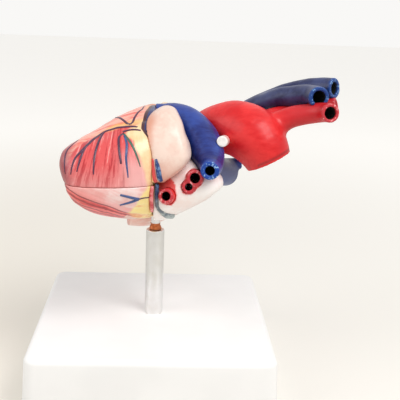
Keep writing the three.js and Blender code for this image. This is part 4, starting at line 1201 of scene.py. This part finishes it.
def finish_muscle(finish, colour, grain, fat_low, fat_high, lap=None):
    """The last coats: fat over the muscle, cords over both, and the colours of the inside."""
    fat = (finish.mark("fat") + 5 * finish.patches + 2 * grain).rise(2.2, 5.2)
    lardy = finish.blend((finish.patches * 0.7 + grain * 0.3).rise(0.42, 0.6), fat_low, fat_high)
    colour = finish.blend(fat, colour, lardy)
    if lap:
        colour = finish.blend(lap[0], colour, lap[1])
    cord = finish.mark("cord")
    colour = finish.blend(
        cord.rise(0.3, 0.7), colour, finish.blend(finish.strokes, pale(34, 10, 42), pale(98, 36, 76)),
    )
    colour = finish.blend(
        cord.rise(1.3, 1.7), colour, finish.blend(finish.strokes, pale(10, 52, 58), pale(80, 128, 98)),
    )
    colour = finish.blend(
        cord.rise(2.3, 2.7), colour, finish.blend(finish.strokes, pale(8, 40, 96), pale(78, 104, 158)),
    )
    colour = finish.blend(
        cord.rise(3.3, 3.7), colour, finish.blend(finish.strokes, pale(196, 40, 44), pale(232, 92, 88)),
    )
    hollow = finish.mark("hollow")
    section = finish.blend(grain.rise(0.35, 0.65), pale(226, 140, 128), pale(240, 184, 170))
    chamber = finish.blend(
        (0.5 * grain + 0.5 * finish.patches).rise(0.38, 0.6), pale(202, 98, 92), pale(236, 158, 146),
    )
    colour = finish.blend(hollow.rise(0.2, 0.4), colour, section)
    colour = finish.blend(hollow.rise(0.6, 0.95), colour, chamber)
    finish.feed("Base Color", colour)
    finish.feed("Roughness", 0.3 + 0.18 * finish.strokes)
    finish.bump(0.8 * grain + 0.5 * finish.patches, 0.35)


muscle_rear = muscle_finish("muscle_rear")
band = muscle_rear.mark("band")
grain = fibres(muscle_rear, band, muscle_rear.mark("apex"), 2.2, 9)
soft = muscle_rear.patches
colour = muscle_rear.blend(
    (soft * 0.6 + grain * 0.4).rise(0.36, 0.62), pale(244, 186, 180), pale(253, 226, 222),
)
rosy = (muscle_rear.mark("apex") + 10 * soft).rise(-14, -34) * 0.5
colour = muscle_rear.blend(rosy, colour, pale(246, 142, 134))
colour = muscle_rear.blend((band + 3 * soft).rise(-5.5, 1.6) * 0.45, colour, pale(240, 120, 118))
lower = muscle_rear.blend(grain.rise(0.38, 0.6), pale(220, 44, 50), pale(252, 126, 120))
colour = muscle_rear.blend((band + 1.4 * grain).rise(0.2, 1.4), colour, lower)
# A dark line just under the band's upper edge: painted shadow beneath the fold that the relief raises there.
line = (band + 0.8 * grain).rise(-0.4, 0.2) * (band + 0.8 * grain).rise(1.5, 0.8)
colour = muscle_rear.blend(line * 0.9, colour, pale(136, 20, 32))
# Three more dark lines along the band. The first lies along the second fold, painted shadow like the line
# above; the other two are dark strands along the fibres.
for low in (3.4, 6.6, 9.4):
    strand = band + 3.4 * soft
    line = strand.rise(low, low + 0.7) * strand.rise(low + 1.9, low + 1.1)
    colour = muscle_rear.blend(line * 0.75, colour, pale(138, 22, 34))
tip = muscle_rear.mark("apex").rise(-50, -58)
colour = muscle_rear.blend(tip * 0.45, colour, pale(196, 110, 112))
bulge = (muscle_rear.mark("bulge") + 1.6 * soft).rise(0.2, 1.8)
plump = muscle_rear.blend(soft.rise(0.4, 0.6), pale(228, 168, 156), pale(246, 214, 202))
colour = muscle_rear.blend(bulge, colour, plump)
stripes = fibres(muscle_rear, band, muscle_rear.mark("apex"), 2.6, 8)
stripes = stripes.rise(0.52, 0.6) * band.rise(-10, -4)
yellow = muscle_rear.blend(stripes * 0.8, pale(255, 240, 168), pale(240, 140, 92))
finish_muscle(muscle_rear, colour, grain, pale(254, 228, 146), yellow)


def rear_relief(points):
    band = band_mark(points)
    fold = 0.55 * np.exp(-((band + 1.2) / 1.5) ** 2) + 0.35 * np.exp(-((band - 3.6) / 1.2) ** 2)
    outer = ventricles_outside(points) > -0.6
    return (0.25 * waves(points * (0.4, 1, 1), 9, 31) + fold * (points[:, 2] < SEAM - 1.5)) * outer


outer_marks = {
    "fat": fat_mark, "band": band_mark, "bulge": bulge_mark, "apex": apex_mark, "hollow": hollow_mark,
}
cast(
    "rear_ventricles", rear_shape, ((-57.4, -54, 9), (-1, 46, 40.2)), 0.7, muscle_rear, "heart",
    ["ventricle_rear"], outer_marks, rear_relief, (ventricles_outside, rear_cords),
)

# The bush in the boss: a natural nylon cup pressed in from below, that turns on the pin.
nylon = Finish("nylon", Roughness=0.45)
milky = nylon.noise(3.0, detail=3.0)
nylon.feed("Base Color", nylon.blend(milky.rise(0.3, 0.7), pale(226, 222, 208), pale(240, 237, 228)))
nylon.bump(milky, 0.02)
points, faces = turned([
    (0, 117.9), (0, 116.2), (3.3, 116.2), (3.3, 104.8), (3.7, 104.4), (4.6, 104.4), (5, 104.8), (5, 117.5),
    (4.6, 117.9), (0, 117.9),
][1:], 48)
piece_from("bush_cup", points, faces, nylon, "heart", ["socket_bush"], sharp=35)

# Two locating pegs: nylon pins with rounded tips, glued in the rear half's rim.
PEG_TOP = 140
for name, (x, y) in zip(("apex", "far"), PEG_PLACES):
    tip = []
    for turn in np.linspace(0, math.pi / 2, 7)[:-1]:
        tip.append((2 * math.cos(turn), PEG_TOP - 1.2 + 1.2 * math.sin(turn)))
    points, faces = turned([(0, 127), (1.7, 127), (2, 127.3)] + tip + [(0, PEG_TOP)], 32, x, y)
    piece_from("peg_" + name, points, faces, nylon, "heart", ["locating_peg_" + name], sharp=50)

# Eight magnets: nickel-plated discs in pairs, face to face across the seam. A node tree sets
# a copy of one turned disc at each place.
MAGNET_NAMES = ("near", "apex", "septum", "far")
for half, body, height in (("rear", "heart", 36.7), ("front", "front_wall", 40.6)):
    points, faces = turned([(0, 0), (2.8, 0), (3, 0.2), (3, 2.8), (2.8, 3), (0, 3)], 40)
    disc = mesh_of("disc_pattern", points, faces)
    disc.data.polygons.foreach_set("use_smooth", [True] * len(disc.data.polygons))
    disc.data.set_sharp_from_angle(angle=math.radians(30))
    places = [(x, y, HEART_FOOT + height) for x, y in MAGNET_PLACES]
    nodes = [f"{half}_magnet_{name}" for name in MAGNET_NAMES]
    placed_copies(half + "_magnets", disc, places, zinc, body, nodes)

# The papillary muscles: pink cast cones on the chambers' walls, each with a fan of thin pale
# cords to its valve.
LEAFLET_EDGE = -14.1
CORD_ENDS = {
    "papillary_muscle_left_near": [(-26.2, 32.3), (-26, 25.9), (-27.2, 29.3)],
    "papillary_muscle_left_far": [(-18, 32.3), (-18, 26.3), (-16.8, 29.3)],
    "papillary_muscle_right_near": [(17, 31.4), (17, 25.2), (15.8, 28.4)],
    "papillary_muscle_right_far": [(25, 31.4), (24.4, 25.6), (26.2, 28.6)],
}
chamber_pink = Finish("chamber_pink", Roughness=0.45)
flesh = chamber_pink.noise(3.0, stretch=(3, 1, 1), detail=4.0)
chamber_pink.feed(
    "Base Color", chamber_pink.blend(flesh.rise(0.3, 0.7), pale(222, 130, 124), pale(240, 178, 166)),
)
chamber_pink.bump(flesh, 0.08)
for name, stations in BELLIES.items():
    x, y, height, radius = stations[-1]
    cords = []
    for end in CORD_ENDS[name]:
        start = (x - radius, y, height, 0.9)
        middle = ((x + LEAFLET_EDGE) / 2, (y + end[0]) / 2, (height + end[1]) / 2 - 0.4, 0.55)
        cords.append(tube([start, middle, (LEAFLET_EDGE, *end, 0.75)], 0, 0, 0, 0.3))
    belly = tube(stations, 0, 0, 0, 1.2)
    cast(
        name + "_cast", joined([belly] + cords, 0.8),
        box_round([stations, [(LEAFLET_EDGE, *end, 2) for end in CORD_ENDS[name]]]),
        0.42, chamber_pink, "heart", [name],
        relief=lambda points: 0.22 * waves(points * (0.3, 1, 1), 2.4, 9) * (points[:, 0] < -26),
    )

# The four valves: thin cast leaflets on a ring, scalloped at their free edge. The mitral
# valve has two leaflets and the others three. Each ring is glued in its bore.
leaflet = Finish("leaflet", Roughness=0.4)
veil = leaflet.noise(1.6, detail=4.0)
leaflet.feed("Base Color", leaflet.blend(veil.rise(0.3, 0.7), pale(246, 224, 208), pale(252, 240, 228)))
leaflet.bump(veil, 0.06)


def valve(name, ring, tip, length, place, heading, leaves):
    """A valve's ring at a place along X, its leaflets reaching length past it."""
    steps = 24 * leaves
    inner = ring - 2
    outline = [(ring - 0.3, 0, 0), (ring, 0.3, 0), (ring, 3.7, 0), (ring - 0.3, 4, 0), (inner + 1, 4, 0)]
    for share in np.linspace(0.2, 1, 6):
        outline.append((inner + 1 + (tip - inner) * share, 4 + length * share, share))
    for share in np.linspace(1, 0.2, 6):
        outline.append((inner + (tip - inner) * share, 4 + length * share, share))
    outline += [(inner, 3.6, 0), (inner, 0.3, 0), (inner + 0.3, 0, 0)]
    points = []
    for radius, along, share in outline:
        for step in range(steps):
            turn = step / steps * 2 * math.pi
            lobe = abs(math.sin(leaves * turn / 2)) ** 0.6
            reach = along if share == 0 else 4 + (along - 4) * (0.55 + 0.45 * lobe)
            wide = radius + share * 0.5 * (1 - lobe)
            y = place[1] + wide * math.cos(turn)
            z = place[2] + wide * math.sin(turn)
            points.append((place[0] + heading * reach, y, z))
    faces = rings_to_faces(len(outline), steps, closed=True)
    if heading < 0:
        faces = [face[::-1] for face in faces]
    return piece_from(
        name + "_leaflets", np.array(points) + (0, 0, HEART_FOOT), faces, leaflet, "heart", [name],
        sharp=60,
    )


valve("mitral_valve", 10.0, 5, 8, (-1.8, *MITRAL), -1, 2)
valve("tricuspid_valve", 10.0, 5, 8, (-1.8, *TRICUSPID), -1, 3)
valve("aortic_valve", 8.6, 2, 3, (-1.2, 2, 47), 1, 3)
valve("pulmonary_valve", 7.5, 2, 3, (-1.2, 1, 71.2), 1, 3)

# The atria: thin cast shells in pale cream, open towards the ventricles and parted by the
# septum. They are glued to the ventricles' flat back, round the mouths of their veins.
ATRIUM_WALL = 3.5
SEPTUM = 10.5
LEFT_ATRIUM = [
    (-1.2, -38.5, 16, 11.6, 44), (4, -41, 18, 12, 47), (12, -43, 20, 15.4, 51), (21, -43.6, 20, 20.4, 54),
    (30, -40, 18, 25.4, 50.5), (36.6, -32, 13, 30.2, 43.5), (40.6, -23, 6, 33, 39.5),
    (42, -16, 0, 34.6, 37.4),
    (42.3, -8, -8, 36, 36),
]
RIGHT_ATRIUM = [
    (-1.2, 4, 46, 10, 54), (5, 3, 51.5, 7.5, 58), (12, 3, 53.6, 6.5, 60), (19, 4, 53, 10, 58.6),
    (25, 10, 48, 17, 52), (28, 17, 41, 25, 43), (29, 22, 36, 30, 38), (29.3, 29, 29, 34, 34),
]
left_atrium = oval(LEFT_ATRIUM)
left_room = oval(LEFT_ATRIUM, -ATRIUM_WALL, -ATRIUM_WALL, 10)
right_atrium = oval(RIGHT_ATRIUM)
right_room = oval(RIGHT_ATRIUM, -ATRIUM_WALL, -ATRIUM_WALL, 10)
boss_tool = upright(BOSS_RADIUS + 0.3, 1.4, BOSS_TOP + 0.3, 0, 0)


def atrium_cuts(points):
    """Distance to everything that passes through the atria's walls."""
    tools = [
        aorta_outside, trunk_outside, cava_outside, lower_cava_outside, sinus_tool, circumflex_tool,
        vein_cutters,
    ]
    result = boss_tool(points) - GAP
    for tool in tools:
        result = np.minimum(result, tool(points) - TOUCH)
    return result


def left_atrium_shape(points):
    room = smooth_max(left_room(points), points[:, 1] - (SEPTUM - ATRIUM_WALL), 0.6)
    walls = smooth_max(smooth_max(left_atrium(points), points[:, 1] - SEPTUM, 0.3), -room, 0.5)
    return smooth_max(walls, -atrium_cuts(points), 0.3)


def right_atrium_shape(points):
    room = smooth_max(right_room(points), SEPTUM + GAP + ATRIUM_WALL - points[:, 1], 0.6)
    walls = smooth_max(smooth_max(right_atrium(points), SEPTUM + GAP - points[:, 1], 0.3), -room, 0.5)
    return smooth_max(walls, -atrium_cuts(points), 0.3)


atrium_cream = Finish("atrium_cream", Specular_IOR_Level=0.5, Coat_Weight=0.3, Coat_Roughness=0.2)
soft = atrium_cream.noise(16, detail=3.0)
strokes = atrium_cream.noise(2.4, detail=4.0, roughness=0.6)
colour = atrium_cream.blend(
    (0.7 * soft + 0.3 * strokes).rise(0.36, 0.6), pale(253, 236, 229), pale(255, 249, 245),
)
# Pinker towards the top of the atria.
tint_and_shade = (atrium_cream.mark("height") + 12 * soft).rise(4, 13)
colour = atrium_cream.blend(tint_and_shade * 0.25, colour, pale(246, 184, 176))
red = (atrium_cream.mark("vein") + 2.6 * strokes + 2.4 * soft).rise(3.7, 2.7)
colour = atrium_cream.blend(
    red, colour, atrium_cream.blend(strokes, pale(218, 54, 56), pale(242, 110, 104)),
)
room = atrium_cream.blend(soft.rise(0.4, 0.6), pale(216, 128, 118), pale(240, 180, 166))
colour = atrium_cream.blend(atrium_cream.mark("room").rise(1.2, 2.2), colour, room)
atrium_cream.feed("Base Color", colour)
atrium_cream.feed("Roughness", 0.32 + 0.16 * strokes)
atrium_cream.bump(soft + 0.3 * strokes, 0.3)


def vein_mark(points):
    """Millimetres from the red paint round the left veins' stubs."""
    reach = np.minimum(
        vein_outsides["left_superior_pulmonary_vein"](points),
        vein_outsides["left_inferior_pulmonary_vein"](points),
    )
    band = 40.6 + 0.62 * (points[:, 0] - 4) - points[:, 2] - 1.2
    band = np.where((points[:, 1] < -20) & (points[:, 0] > 2), np.maximum(band, 0), 9)
    above = np.hypot(points[:, 0] - 6.4, points[:, 2] - 38.6) - 4.4 + 9 * (points[:, 1] > -20)
    return np.minimum(reach, np.minimum(band + 1.5, above))


cast(
    "left_atrium_cast", left_atrium_shape, ((-1.4, -44, 9), (43.6, 11, 50)), 0.65, atrium_cream, "heart",
    ["left_atrium"], {"height": height_mark, "vein": vein_mark, "room": depth_inside(left_atrium)},
    lambda points: 0.2 * waves(points, 15, 12) * (points[:, 0] > 1),
)
cast(
    "right_atrium_cast", right_atrium_shape, ((-1.4, 10, 6), (29.6, 54, 61)), 0.65, atrium_cream, "heart",
    ["right_atrium"],
    {
        "height": height_mark, "vein": lambda points: points[:, 0] * 0 + 9,
        "room": depth_inside(right_atrium),
    },
    lambda points: 0.2 * waves(points, 15, 13) * (points[:, 0] > 1),
)


# The front wall: the other half of the ventricles, cast hollow, that lifts off the seam. The
# left coronary artery and its branches stand out in dark paint over red fibres that fan down
# to the seam, and yellow fat fills the corner under the auricle.
front_cords = [
    (PURPLE, [
        (-11.4, -33.4, 71.6, 0.6), (-15.6, -33, 72.5, 0.85), (-24, -31.4, 71.3, 1.0),
        (-29.9, -32.2, 69.3, 1.05),
        (-35.6, -35.9, 66.4, 1.0), (-39.5, -40.9, 63.1, 0.95), (-42.8, -44.7, 59.6, 0.9),
        (-46.2, -47.4, 55.9, 0.7),
        (-48.8, -50.7, 47.2, 0.35),
    ]),
    (
        PURPLE,
        [
            (-39.6, -41.4, 62.8, 0.6), (-40.8, -42.8, 61.6, 0.7), (-43.2, -48.2, 55.9, 0.7),
            (-45.1, -51.2, 49, 0.35),
        ],
    ),
    (PURPLE, [(-30.6, -33, 69, 0.6), (-31.9, -34.8, 67.9, 0.75), (-34.1, -43.4, 62.6, 0.75),
              (-35.2, -48.2, 57.6, 0.7), (-35.5, -52.6, 48, 0.4)]),
    (
        PURPLE,
        [
            (-46.6, -30.8, 63.6, 0.5), (-51.4, -41, 58.6, 0.55), (-52.5, -46.5, 53.7, 0.5),
            (-52.6, -49.3, 46.8, 0.3),
        ],
    ),
    (PURPLE, [(-25.3, -11, 73.5, 0.6), (-20.7, -22.8, 74.6, 0.75), (-15.7, -31, 73.4, 0.8)]),
    (
        PURPLE,
        [(-15.7, -31, 73.4, 0.8), (-11.7, -19.2, 78.2, 0.7), (-9.6, -13.8, 79.8, 0.6), (-8, -4, 81, 0.4)],
    ),
    (PURPLE, [(-9.5, -36.2, 71, 0.6), (-14.8, -35.5, 71.1, 0.75), (-19.9, -36.3, 69.9, 0.75)]),
    (
        PURPLE,
        [
            (-19.2, -37.5, 69.2, 0.6), (-21.6, -39.3, 67.7, 0.7), (-21.5, -45.7, 61.8, 0.75),
            (-20.1, -50, 54, 0.6),
        ],
    ),
    (
        BLUE,
        [
            (-18.8, -38.9, 68.3, 0.6), (-17.2, -43.8, 63.9, 0.75), (-17.3, -48.5, 56.7, 0.7),
            (-15.9, -50.9, 46.3, 0.35),
        ],
    ),
    (
        GREEN,
        [
            (-19, -38.1, 68.8, 0.6), (-15, -43.1, 64.6, 0.7), (-11.9, -46.2, 59.3, 0.6),
            (-9.2, -47.9, 52.2, 0.3),
        ],
    ),
    (PURPLE, [(-4.6, 41.4, 58, 0.9), (-5.2, 43, 50, 0.9), (-5.4, 41.8, 42, 0.8)]),
    (PURPLE, [(-5, 40.6, 60, 0.6), (-16, 33, 62, 0.6), (-27, 24, 60, 0.5), (-36, 14, 58, 0.3)]),
    (PURPLE, [(-5.2, 42.4, 52, 0.6), (-18, 36, 49, 0.6), (-30, 24, 47, 0.4)]),
]
muscle_front = muscle_finish("muscle_front")
soft = muscle_front.patches
height = muscle_front.mark("height")
crest = muscle_front.mark("crest")
grain = fibres(muscle_front, muscle_front.mark("fan"), height, 1.9, 13)
top_grain = fibres(muscle_front, muscle_front.mark("far"), muscle_front.mark("apex"), 2.4, 7)
warm = (height + 9 * soft + 4 * grain).rise(4, 24)
colour = muscle_front.blend(warm, pale(238, 146, 144), pale(222, 78, 78))
colour = muscle_front.blend(grain.rise(0.5, 0.6) * (0.35 + 0.6 * warm), colour, pale(182, 20, 34))
# Pale pink streaks along the fibres: partly the paint's lighter brushwork, partly painted highlights on the
# fibres.
colour = muscle_front.blend(grain.rise(0.43, 0.34) * 0.75, colour, pale(253, 172, 166))
plain = (muscle_front.mark("fat") + 5 * soft).rise(-16, -2) * height.rise(26, 10)
colour = muscle_front.blend(plain * 0.6, colour, pale(250, 204, 200))
colour = muscle_front.blend(grain.rise(0.64, 0.7) * 0.5, colour, pale(130, 24, 44))
ridge = muscle_front.blend(top_grain.rise(0.38, 0.6), pale(232, 92, 80), pale(250, 178, 158))
colour = muscle_front.blend((crest + 4 * soft).rise(0.5, 4), colour, ridge)
groove = (crest + 5 * soft).rise(-2.2, 0.6) * (crest + 5 * soft).rise(6.6, 3.4)
colour = muscle_front.blend(
    groove * muscle_front.mark("apex").rise(-40, -27) * 0.9, colour, pale(246, 192, 118),
)
conus = (muscle_front.mark("apex") + 6 * top_grain).rise(-12, -5) * crest.rise(2, 7)
colour = muscle_front.blend(conus * 0.7, colour, pale(240, 168, 146))
lump = height.rise(33.5, 37) * crest.rise(2, 7)
orange = muscle_front.blend(soft.rise(0.42, 0.58), pale(206, 116, 72), pale(244, 176, 128))
tip = (muscle_front.mark("apex") + 5 * soft).rise(-43, -51)
colour = muscle_front.blend(tip * 0.9, colour, pale(158, 68, 78))
low_fat = muscle_front.blend(lump, pale(247, 204, 152), orange)
high_fat = muscle_front.blend(lump, pale(251, 219, 172), orange)
blue = muscle_front.mark("blue")
line = muscle_front.blend(blue.rise(-0.2, 0.5), pale(64, 10, 24), pale(30, 40, 98))
finish_muscle(muscle_front, colour, grain, low_fat, high_fat, (blue.rise(-2.0, -1.5), line))


BLUE_EDGE = [
    (-44, 2), (-38, -5.6), (-35.3, -7.6), (-30.4, -7.4), (-21.5, -6), (-11.5, -4), (-2, -2), (4, 3),
]


def blue_mark(points):
    """Millimetres inside the trunk's blue paint, which laps over the wall's upper end."""
    return np.where(points[:, 2] > 62, points[:, 0] - level_at(BLUE_EDGE, points[:, 1]), -9)


def front_fat(points):
    return np.where(blue_mark(points) > 0.2, -20, fat_mark(points))


def front_relief(points):
    outer = ventricles_outside(points) > -0.6
    beyond = crest_mark(points)
    groove = -0.9 * np.exp(-((beyond - 1) / 2.4) ** 2) * np.clip((points[:, 0] + 46) / 12, 0, 1)
    conus = 1.6 * np.exp(-((points[:, 0] + 19) / 13) ** 2 - ((beyond - 15) / 12) ** 2)
    return (0.22 * waves(points * (1, 1, 0.4), 8, 41) + groove + conus) * outer * (points[:, 2] > SEAM + 1.6)


def front_shape(points):
    return smooth_max(ventricles(points), SEAM + GAP - points[:, 2], 0.5)


cast(
    "front_wall_cast", front_shape, ((-57.4, -54, 40.2), (-1, 46, 83)), 0.7, muscle_front, "front_wall",
    ["front_wall"],
    {"fat": front_fat, "blue": blue_mark, "height": height_mark, "crest": crest_mark, "fan": fan_mark,
     "far": far_mark, "apex": apex_mark, "hollow": hollow_mark},
    front_relief, (ventricles_outside, front_cords),
)


# The left auricle: a plump cream shield, cast with the front wall, that laps over the root of
# the pulmonary trunk. The right auricle is its smaller fellow on the far side.
AURICLE_OUTLINE = [
    (5, 41.6), (9.6, 44.6), (13.8, 48.2), (17.8, 51.8), (20.4, 57), (19.6, 62), (17.2, 69), (14.4, 76.4),
    (10.2, 82.2), (3.4, 83.6), (-3.8, 79.2), (-8, 72.4), (-7.8, 65), (-5.6, 58), (-4, 51), (-3.2, 41.8),
]
AURICLE_EDGE = -45.5
AURICLE_FALL = 18.5
AURICLE_CROWN = 3.4
AURICLE_DEPTH = 13
RIGHT_AURICLE = [
    (-1.2, 28, 39, 52, 74), (3, 27, 43, 48, 78.5), (9, 28, 44, 48, 77), (14, 31, 42, 52, 70),
    (16, 34, 38, 57, 63),
    (16.6, 36, 36, 60, 60),
]
outline = route([(x, 0, z, 1) for x, z in AURICLE_OUTLINE + AURICLE_OUTLINE[:1]], 1.2)[:-1][:, (0, 2)]


def flat_distance(places):
    """Distance in the plane to the shield's outline, less than nought inside it."""
    best = np.full(len(places), 1e6)
    crossings = np.zeros(len(places), int)
    for start, end in zip(outline, np.roll(outline, -1, axis=0)):
        span = end - start
        away = places - start
        share = np.clip(away @ span / (span @ span), 0, 1)
        best = np.minimum(best, np.linalg.norm(away - share[:, None] * span, axis=1))
        rises = (start[1] > places[:, 1]) != (end[1] > places[:, 1])
        with np.errstate(divide="ignore", invalid="ignore"):
            side = start[0] + (places[:, 1] - start[1]) * span[0] / span[1]
        crossings += rises & (places[:, 0] < side)
    return np.where(crossings % 2, -best, best)


def shield(points):
    edge = flat_distance(points[:, (0, 2)])
    fall = AURICLE_FALL * (np.clip(points[:, 2] - 43.2, 0, 60) / 40.4) ** 2
    behind = points[:, 1] - AURICLE_EDGE - fall
    swell = AURICLE_CROWN * (1 - np.exp(np.minimum(edge, 0) / 4.5))
    face = (-swell - behind) * 0.85
    return smooth_max(smooth_max(edge, face, 5.0), behind - AURICLE_DEPTH, 2.0)


ventricle_tool = oval(VENTRICLES, GAP)
left_tool = oval(LEFT_ATRIUM, GAP)
right_tool = oval(RIGHT_ATRIUM, GAP)
right_shield = oval(RIGHT_AURICLE)


def auricle_cuts(points):
    result = np.minimum(left_tool(points), right_tool(points))
    result = np.minimum(result, np.maximum(ventricle_tool(points), points[:, 0] - BASE_PLANE - GAP))
    for tool in (aorta_outside, trunk_outside, cava_outside, sinus_tool, vein_cutters):
        result = np.minimum(result, tool(points) - GAP)
    return result


def auricle_shape(points):
    return smooth_max(shield(points), -auricle_cuts(points), 0.5)


def right_auricle_shape(points):
    return smooth_max(right_shield(points), -auricle_cuts(points), 0.5)


FOLD_EDGE = [(41, -0.6), (43, -1.2), (46.6, -2.6), (51, -3.8), (56.4, -3.6), (60, -9)]


def fold_mark(points):
    """Millimetres left of the red stripe on the shield, where the yellow fat laps over it."""
    return level_at(FOLD_EDGE, points[:, 2]) - points[:, 0]


auricle_cream = Finish("auricle_cream", Specular_IOR_Level=0.5, Coat_Weight=0.3, Coat_Roughness=0.2)
soft = auricle_cream.noise(13, detail=3.0)
strokes = auricle_cream.noise(2.4, detail=4.0, roughness=0.6)
colour = auricle_cream.blend(
    (0.7 * soft + 0.3 * strokes).rise(0.38, 0.6), pale(230, 195, 179), pale(238, 212, 197),
)
# Darker peach-brown over the shield's lower part: painted shade.
tint_and_shade = (auricle_cream.mark("height") + 14 * soft).rise(26, 10)
colour = auricle_cream.blend(tint_and_shade * 0.8, colour, pale(216, 148, 126))
# Darker orange-brown along the shield's left edge: painted shade, with the peach of the fat that merges
# there.
edge = (auricle_cream.mark("side") + 5 * soft).rise(2.6, -3)
colour = auricle_cream.blend(edge * 0.85, colour, pale(216, 146, 118))
fatty = (auricle_cream.mark("fold") + 1.2 * strokes).rise(0.2, 1.0)
colour = auricle_cream.blend(fatty, colour, pale(250, 218, 156))
cord = auricle_cream.mark("cord")
colour = auricle_cream.blend(
    cord.rise(2.3, 2.7), colour,
    auricle_cream.blend(strokes.rise(0.45, 0.7), pale(8, 52, 112), pale(130, 168, 206)),
)
colour = auricle_cream.blend(
    cord.rise(3.3, 3.7), colour, auricle_cream.blend(strokes, pale(196, 36, 40), pale(236, 92, 88)),
)
auricle_cream.feed("Base Color", colour)
auricle_cream.feed("Roughness", 0.32 + 0.16 * strokes)
auricle_cream.bump(soft + 0.3 * strokes, 0.3)
auricle_cords = [
    (
        BLUE,
        [(3.4, -47.6, 42.4, 1.1), (2.2, -47.8, 46, 1.5), (1.0, -47.4, 51, 1.5), (-0.4, -46.4, 56.6, 0.8)],
    ),
    (RED, [(0.2, -47, 42, 1.1), (-1.2, -46.6, 46.6, 1.3), (-2.4, -46, 51, 1.1), (-2.4, -45, 56.4, 0.7)]),
]
cast(
    "left_auricle_cast", auricle_shape, ((-9, -50, 42), (22, -10, 86)), 0.55, auricle_cream, "front_wall",
    ["left_auricle"], {"height": height_mark, "side": apex_mark, "fold": fold_mark},
    lambda points: 0.35 * waves(points, 13, 17), (shield, auricle_cords),
)
cast(
    "right_auricle_cast", right_auricle_shape, ((-1.4, 26, 47), (17, 45, 79)), 0.55, auricle_cream,
    "front_wall",
    ["right_auricle"], {"height": height_mark, "side": height_mark},
    lambda points: 0.5 * waves(points, 7, 19),
)

# The table, the lamps and the camera: a plain pale floor, a big soft lamp to the right,
# a weaker one to the left, and the photograph's view. The room is white behind the model.
floor_finish = Finish("floor", Roughness=0.9, Emission_Strength=1.0, Specular_IOR_Level=0.1)
floor_finish.shader.inputs["Base Color"].default_value = pale(226, 222, 214)
away = floor_finish.node(
    "ShaderNodeVectorMath", {"operation": "LENGTH"}, (floor_finish.place,), out="Value",
)
seen = floor_finish.node("ShaderNodeLightPath", out="Is Camera Ray")
side = floor_finish.node("ShaderNodeSeparateXYZ", {}, (floor_finish.place,), out="X")
# The floor glows for the camera. Near the model it is darker and warmer to the left, a painted shadow of the
# base, and far off it is brighter.
near_glow_with_painted_shadow = floor_finish.blend(side.rise(-0.16, 0.1), (0.13, 0.112, 0.085, 1), (0.165, 0.165, 0.162, 1))
glow = floor_finish.blend(away.rise(0.12, 1.0), near_glow_with_painted_shadow, (0.45, 0.45, 0.45, 1))
floor_finish.feed("Emission Color", floor_finish.blend(seen, (0, 0, 0, 1), glow))
points = [(-4000, -4000, 0), (4000, -4000, 0), (4000, 4000, 0), (-4000, 4000, 0)]
table = mesh_of("table", points, [(0, 1, 2, 3)])
table.data.materials.append(floor_finish.material)

world = bpy.data.worlds.new("room")
bpy.context.scene.world = world
world.use_nodes = True
sight = world.node_tree.nodes.new("ShaderNodeLightPath")
wall = world.node_tree.nodes.new("ShaderNodeMix")
wall.data_type = "RGBA"
wall.inputs[6].default_value = (0.58, 0.58, 0.58, 1)
wall.inputs[7].default_value = pale(249, 248, 246)
either = world.node_tree.nodes.new("ShaderNodeMath")
either.operation = "MAXIMUM"
world.node_tree.links.new(sight.outputs["Is Camera Ray"], either.inputs[0])
world.node_tree.links.new(sight.outputs["Is Glossy Ray"], either.inputs[1])
world.node_tree.links.new(either.outputs[0], wall.inputs[0])
world.node_tree.links.new(wall.outputs[2], world.node_tree.nodes["Background"].inputs["Color"])


def lamp(name, place, aim, size, power):
    light = bpy.data.lights.new(name, "AREA")
    light.size = size
    light.energy = power
    holder = bpy.data.objects.new(name, light)
    bpy.context.scene.collection.objects.link(holder)
    holder.location = place
    holder.rotation_euler = (Vector(aim) - Vector(place)).to_track_quat("-Z", "Y").to_euler()


lamp("soft_right", (0.45, -0.45, 0.85), (0, 0, 0.13), 0.5, 5.6)
lamp("soft_left", (-0.7, -0.3, 0.6), (0, 0, 0.13), 0.6, 2.2)

SENSOR = 36
FOCAL_PIXELS = 759.2
PHOTO_WIDTH = 400
PITCH, YAW, ROLL = (math.radians(turn) for turn in (14.92, 2.91, 2.14))
EYE = (0.00435, -0.478, 0.2419)
camera = bpy.data.cameras.new("camera")
camera.sensor_width = SENSOR
camera.lens = FOCAL_PIXELS / PHOTO_WIDTH * SENSOR
camera.clip_start = 0.01
holder = bpy.data.objects.new("camera", camera)
bpy.context.scene.collection.objects.link(holder)
ahead = Vector((math.sin(YAW) * math.cos(PITCH), math.cos(YAW) * math.cos(PITCH), -math.sin(PITCH)))
level = Vector((math.cos(YAW), -math.sin(YAW), 0))
above = level.cross(ahead)
right = level * math.cos(ROLL) + above * math.sin(ROLL)
up = above * math.cos(ROLL) - level * math.sin(ROLL)
turning = Matrix((right, up, -ahead)).transposed()
holder.matrix_world = Matrix.Translation(EYE) @ turning.to_4x4()
bpy.context.scene.camera = holder
bpy.context.scene.view_settings.view_transform = "Standard"
